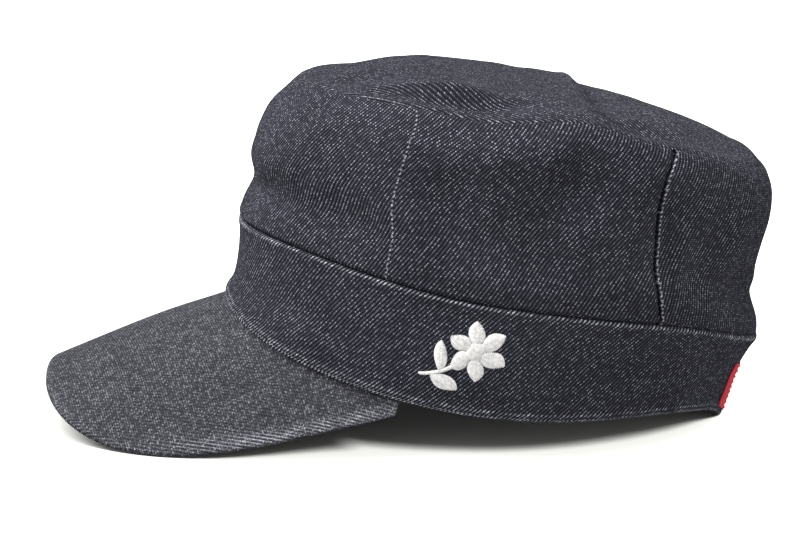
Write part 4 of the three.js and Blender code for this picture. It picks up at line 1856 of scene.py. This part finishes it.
@dataclass(frozen=True)
class Needlework:
    """Lays stitches on the band: one short thread is modelled, then copied along each stitch.

    angle, up, turn: its middle on the band, in radians round and as a share of the height, and
    how far it's turned, in radians.
    thread: the thread's half width in millimetres.
    sides, cuts: the sides of a thread's section, and how often it's cut across.
    arched: below 1, a stitch rises more steeply at its ends.
    sunk: how far its ends lie below the cloth, in millimetres.
    flat_ends: how thick its ends are, as a share of its middle.
    """

    band: Band
    angle: float
    up: float
    turn: float
    thread: float = 0.3
    sides: int = 6
    cuts: int = 7
    arched: float = 0.5
    sunk: float = 0.15
    flat_ends: float = 0.5

    def place(self, x: Array, y: Array, out: Array) -> Array:
        """Points on the band, from millimetres across, up and out from the needlework's middle.

        Args:
            x: Millimetres across.
            y: Millimetres up.
            out: Millimetres out.

        Returns:
            A point for each.
        """
        pattern = self.band.pattern
        reach = np.array([self.angle + SLOPE_STEP, self.angle - SLOPE_STEP])
        ends = pattern.band_face(reach, np.full(2, self.up))
        per_radian = float(np.linalg.norm(ends[0] - ends[1])) / (2 * SLOPE_STEP)
        at = np.array([self.angle])
        tall = float((pattern.band_top.height(at) - pattern.hem.height(at))[0])
        cos, sin = math.cos(self.turn), math.sin(self.turn)
        across, above = x * cos - y * sin, x * sin + y * cos
        return self.band.surface(self.angle + across / per_radian, self.up + above / tall, out)

    def blank(self) -> bpy.types.Object:
        """One straight thread along Z, cut across into short lengths.

        Returns:
            The thread.
        """
        bpy.ops.object.select_all(action="DESELECT")
        bpy.ops.mesh.primitive_cylinder_add(vertices=self.sides, radius=1, depth=2, end_fill_type="TRIFAN")
        thread = bpy.context.active_object
        bpy.ops.object.mode_set(mode="EDIT")
        for step in range(1, self.cuts + 1):
            level = -math.cos(math.pi * step / (self.cuts + 1))
            bpy.ops.mesh.select_all(action="SELECT")
            bpy.ops.mesh.bisect(plane_co=(0, 0, level), plane_no=(0, 0, 1))
        bpy.ops.object.mode_set(mode="OBJECT")
        return thread

    def sew(self, name: str, stitches: list[Stitch], material: bpy.types.Material) -> bpy.types.Object:
        """Sews the stitches as one piece.

        Args:
            name: The piece's name.
            stitches: The stitches, in millimetres from the needlework's middle.
            material: The thread's material.

        Returns:
            The joined piece.
        """
        blank = self.blank()
        shape = read_points(blank.data)
        along = (shape[:, 2] + 1) / 2
        threads = []
        for stitch in stitches:
            start, stop = np.array(stitch.start), np.array(stitch.stop)
            middle = mix(start, stop, along[:, None])
            side = np.array((start[1] - stop[1], stop[0] - start[0]))
            side = side / max(float(np.linalg.norm(side)), TINY)
            arch = np.sin(math.pi * along) ** self.arched
            flat = middle + side * (shape[:, 0] * self.thread)[:, None]
            round_thread = shape[:, 1] * self.thread * mix(self.flat_ends, 1.0, arch)
            out = mix(-self.sunk, stitch.lift, arch) + round_thread
            mesh = blank.data.copy()
            write_points(mesh, self.place(flat[:, 0], flat[:, 1], out))
            threads.append(bpy.data.objects.new(name, mesh))
        for thread in threads:
            bpy.context.scene.collection.objects.link(thread)
        bpy.data.objects.remove(blank)
        bpy.ops.object.select_all(action="DESELECT")
        for thread in threads:
            thread.select_set(True)
        piece = threads[0]
        bpy.context.view_layer.objects.active = piece
        bpy.ops.object.join()
        piece.name = name
        finish_shell(piece, material)
        return piece


@dataclass(frozen=True)
class Leaf:
    """A leaf or petal: where its middle is, its length, its width, its turn in radians and how far
    it's raised at its tips, as a share of its middle."""

    x: float
    y: float
    long: float
    wide: float
    turn: float
    tip_lift: float = 0.4

    def stitches(self, pitch: float, slant: float, lift: float) -> list[Stitch]:
        """Satin stitches across it, from tip to tip.

        Args:
            pitch: The space between them.
            slant: How far each leans, for each millimetre that it's wide.
            lift: How far the longest stands up.

        Returns:
            The stitches.
        """
        cos, sin = math.cos(self.turn), math.sin(self.turn)
        count = round(self.long / pitch)
        made = []
        for step in range(1, count):
            share = step / count
            half = 2 * share * (1 - share) * self.wide
            x = self.long * (share - 0.5)
            ends = ((x - slant * half, -half), (x + slant * half, half))
            start, stop = ((self.x + a * cos - b * sin, self.y + a * sin + b * cos) for a, b in ends)
            made.append(Stitch(start, stop, lift * mix(self.tip_lift, 1.0, half / (self.wide / 2))))
        return made


@dataclass(frozen=True)
class Sprig:
    """The white sprig: a six-petalled flower on a bent stem with two leaves.

    round, up, turn: its middle in degrees round and as a share of the height, and its turn.
    petal_long, petal_wide, from_centre, centre: the flower's sizes in millimetres.
    stem, stem_long, stem_width: the stem's ends with its bend between them, and its sizes.
    leaves: where each starts on the stem as a share, its length, its width and its direction.
    pitch, lift: the space between stitches and how far they stand up, in millimetres.
    petal_slant, leaf_slant, stem_slant: how far stitches lean.
    stem_lift, centre_lift: how far the stem's and the centre's stand up, as shares of lift.
    """

    band: Band
    finishes: Finishes
    round: float = 86.5
    up: float = 0.6
    turn: float = -50 * DEGREE
    petals: int = 6
    petal_long: float = 9.6
    petal_wide: float = 6.2
    from_centre: float = 6.4
    centre: float = 3.6
    stem: tuple[tuple[float, float], ...] = ((0, -2), (1.7, -13.6), (-3.4, -23))
    stem_long: float = 23
    stem_width: float = 1.6
    leaves: tuple[tuple[float, float, float, float], ...] = (
        (0.8, 12.6, 6, 30 * DEGREE),
        (0.62, 11.4, 5.5, 146 * DEGREE),
    )
    pitch: float = 0.46
    lift: float = 0.55
    petal_slant: float = 0.25
    leaf_slant: float = 0.45
    stem_slant: float = 0.3
    stem_lift: float = 0.8
    centre_lift: float = 1.3

    def stem_at(self, share: float) -> Array:
        """A point on the stem's curve."""
        start, bend, stop = (np.array(point, float) for point in self.stem)
        return start * (1 - share) ** 2 + bend * 2 * share * (1 - share) + stop * share**2

    def build(self) -> None:
        """Sews the sprig on the band."""
        stitches = []
        for k in range(self.petals):
            turn = (k + 0.5) * 2 * math.pi / self.petals
            x, y = self.from_centre * math.cos(turn), self.from_centre * math.sin(turn)
            petal = Leaf(x, y, self.petal_long, self.petal_wide, turn)
            stitches += petal.stitches(self.pitch, self.petal_slant, self.lift)
        for on, long, wide, turn in self.leaves:
            x, y = self.stem_at(on) + long / 2 * np.array((math.cos(turn), math.sin(turn)))
            stitches += Leaf(x, y, long, wide, turn).stitches(self.pitch, self.leaf_slant, self.lift)
        steps = round(self.stem_long / self.pitch)
        across = np.array((self.stem_width / 2, self.stem_slant))
        for step in range(steps):
            middle = self.stem_at((step + 0.5) / steps)
            stitches.append(Stitch(middle - across, middle + across, self.lift * self.stem_lift))
        rounds = round(2 * self.centre / self.pitch)
        for step in range(1, rounds):
            y = self.centre * (2 * step / rounds - 1)
            half = math.sqrt(self.centre**2 - y**2)
            stitches.append(Stitch((-half, y), (half, y), self.lift * self.centre_lift))
        needle = Needlework(self.band, self.round * DEGREE, self.up, self.turn)
        piece = needle.sew("sprig_threads", stitches, self.finishes.white)
        hand_over(piece, ("embroidery",))


@dataclass(frozen=True)
class Label:
    """The plain red label, folded in at its ends and sewn round the band's back.

    start, stop, low, high: its ends in degrees round, and its edges as shares of the height.
    wall, seat: its thickness, and how far it lies off the band.
    radius, tall: its sizes on the flat tape.
    puff, puff_ends, puff_edges: how far its middle stands out, and where that fades to its sides.
    turned_in, turn_fade: how far its ends are folded in, and over what width that shows.
    stitches, stitch, thread: the stitches at each end, their length and their half width.
    """

    band: Band
    finishes: Finishes
    start: float = 162
    stop: float = 198
    low: float = 0.1
    high: float = 0.66
    wall: float = 0.45
    seat: float = 0.08
    radius: float = 70
    tall: float = 20
    puff: float = 0.2
    puff_ends: tuple[float, float] = (1.2, 5)
    puff_edges: tuple[float, float] = (0, 4)
    turned_in: float = 2.5
    turn_fade: float = 0.3
    stitches: int = 9
    stitch: float = 1.7
    thread: float = 0.22
    columns: int = 110
    rows: int = 44

    def build(self) -> None:
        """Builds the tape and the stitches down its two ends."""

        def shape(across: Array, up: Array) -> Laid:
            """Places the tape's points.

            Args:
                across: Their shares of the grid across.
                up: Their shares of the grid up.

            Returns:
                The laid cloth.
            """
            angle = mix(self.start, self.stop, across) * DEGREE
            level = mix(self.low, self.high, up)
            ends = np.minimum(across, 1 - across) * (self.stop - self.start) * DEGREE * self.radius
            edges = np.minimum(up, 1 - up) * self.tall
            puff = self.puff * smoothstep(ends, *self.puff_ends) * smoothstep(edges, *self.puff_edges)
            fold_from, fold_to = self.turned_in - self.turn_fade, self.turned_in + self.turn_fade
            folded = self.puff * (1 - smoothstep(ends, fold_from, fold_to))
            points = self.band.surface(angle, level, self.seat + self.wall + puff + folded)
            flat = np.stack((angle * self.radius, up * self.tall), axis=-1)
            return Laid(points, flat, np.zeros_like(angle), np.ones_like(angle))

        piece = ClothGrid("label_tape", self.columns, self.rows).lay(shape)
        finish_sheet(piece, self.wall, self.finishes.tape, self.finishes.tape)
        hand_over(piece, ("label",))
        self.sew_on()

    def sew_on(self) -> None:
        """Sews a row of stitches down each of its ends."""
        stitches = []
        from_middle = (self.stop - self.start) / 2 * DEGREE * self.radius - self.turned_in / 2
        step = self.tall / self.stitches
        lift = self.seat + self.wall + 2 * self.puff
        for row in range(self.stitches):
            low = (row + 0.5) * step - self.tall / 2 - self.stitch / 2
            for x in (-from_middle, from_middle):
                stitches.append(Stitch((x, low), (x, low + self.stitch), lift))
        middle = (self.start + self.stop) / 2 * DEGREE
        needle = Needlework(self.band, middle, (self.low + self.high) / 2, 0, self.thread)
        piece = needle.sew("label_stitches", stitches, self.finishes.red)
        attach(piece, "root")
        log.info("%s: %d stitches", piece.name, len(stitches))


@dataclass
class Studio:
    """The camera at the photograph's angle, the floor and soft light.

    camera_at, look_up, lens, sensor: its place in metres, its lean from straight down in
    degrees, and its lens and sensor in millimetres.
    floor_half: half the floor's width in metres.
    ambient: the white world's strength on everything but the camera.
    sun, sun_width, sun_from: the wide sun's power, its angle in degrees and where it comes from.
    low_sun, low_width, low_from: the same for the low sun that falls on the floor alone.
    """

    finishes: Finishes
    camera_at: tuple[float, float, float] = (-0.00245, -1.01944, 0.272)
    look_up: float = 78.1
    lens: float = 119.08
    sensor: float = 36
    floor_half: float = 12
    ambient: float = 1.35
    sun: float = 5.1
    sun_width: float = 50
    sun_from: tuple[float, float, float] = (-0.6, -0.08, 0.8)
    low_sun: float = 8.0
    low_width: float = 14
    low_from: tuple[float, float, float] = (0.7, -1.0, 0.8)

    def make_camera(self) -> None:
        """Adds the camera, before anything else is made."""
        data = bpy.data.cameras.new("photo camera")
        data.lens = self.lens
        data.sensor_width = self.sensor
        camera = bpy.data.objects.new("photo camera", data)
        camera.location = self.camera_at
        camera.rotation_euler = (self.look_up * DEGREE, 0, 0)
        bpy.context.scene.collection.objects.link(camera)
        bpy.context.scene.camera = camera

    def make_sun(self, name: str, power: float, width: float, comes_from: tuple) -> bpy.types.Object:
        """Adds a sun.

        Args:
            name: Its name.
            power: Its strength.
            width: The angle that it fills, in degrees.
            comes_from: The direction that it shines from.

        Returns:
            The sun.
        """
        light = bpy.data.lights.new(name, "SUN")
        light.energy = power
        light.angle = width * DEGREE
        sun = bpy.data.objects.new(name, light)
        sun.rotation_euler = Vector(comes_from).to_track_quat("Z", "Y").to_euler()
        bpy.context.scene.collection.objects.link(sun)
        return sun

    def make_light(self) -> None:
        """Adds the floor, the wide sun, the low sun for the floor alone and the white world."""
        bpy.ops.object.select_all(action="DESELECT")
        bpy.ops.mesh.primitive_plane_add(size=2 * self.floor_half)
        floor = bpy.context.active_object
        floor.name = "studio_floor"
        put_on(floor, self.finishes.floor)
        self.make_sun("key", self.sun, self.sun_width, self.sun_from)
        low = self.make_sun("floor light", self.low_sun, self.low_width, self.low_from)
        lit = bpy.data.collections.new("lit from the front")
        lit.objects.link(floor)
        low.light_linking.receiver_collection = lit
        world = bpy.data.worlds.new("white studio")
        world.use_nodes = True
        board = NodeBoard(world.node_tree)
        seen = board.add("ShaderNodeLightPath").outputs["Is Camera Ray"]
        sky = world.node_tree.nodes["Background"]
        sky.inputs["Color"].default_value = (1, 1, 1, 1)
        board.plug(sky.inputs["Strength"], board.math("MULTIPLY_ADD", seen, 1 - self.ambient, self.ambient))
        bpy.context.scene.world = world
        bpy.context.scene.view_settings.view_transform = "Standard"


def main() -> None:
    """Builds the cap's pieces round the frame."""
    logging.basicConfig(level=logging.INFO, format="%(name)s %(message)s")
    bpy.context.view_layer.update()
    finishes = Finishes.make()
    studio = Studio(finishes)
    studio.make_camera()
    pattern = CapPattern()
    band = Band(pattern, finishes)
    Crown(pattern, finishes).build()
    band.build()
    Peak(pattern, finishes).build()
    Label(band, finishes).build()
    Sprig(band, finishes).build()
    studio.make_light()


if __name__ == "__main__":
    main()
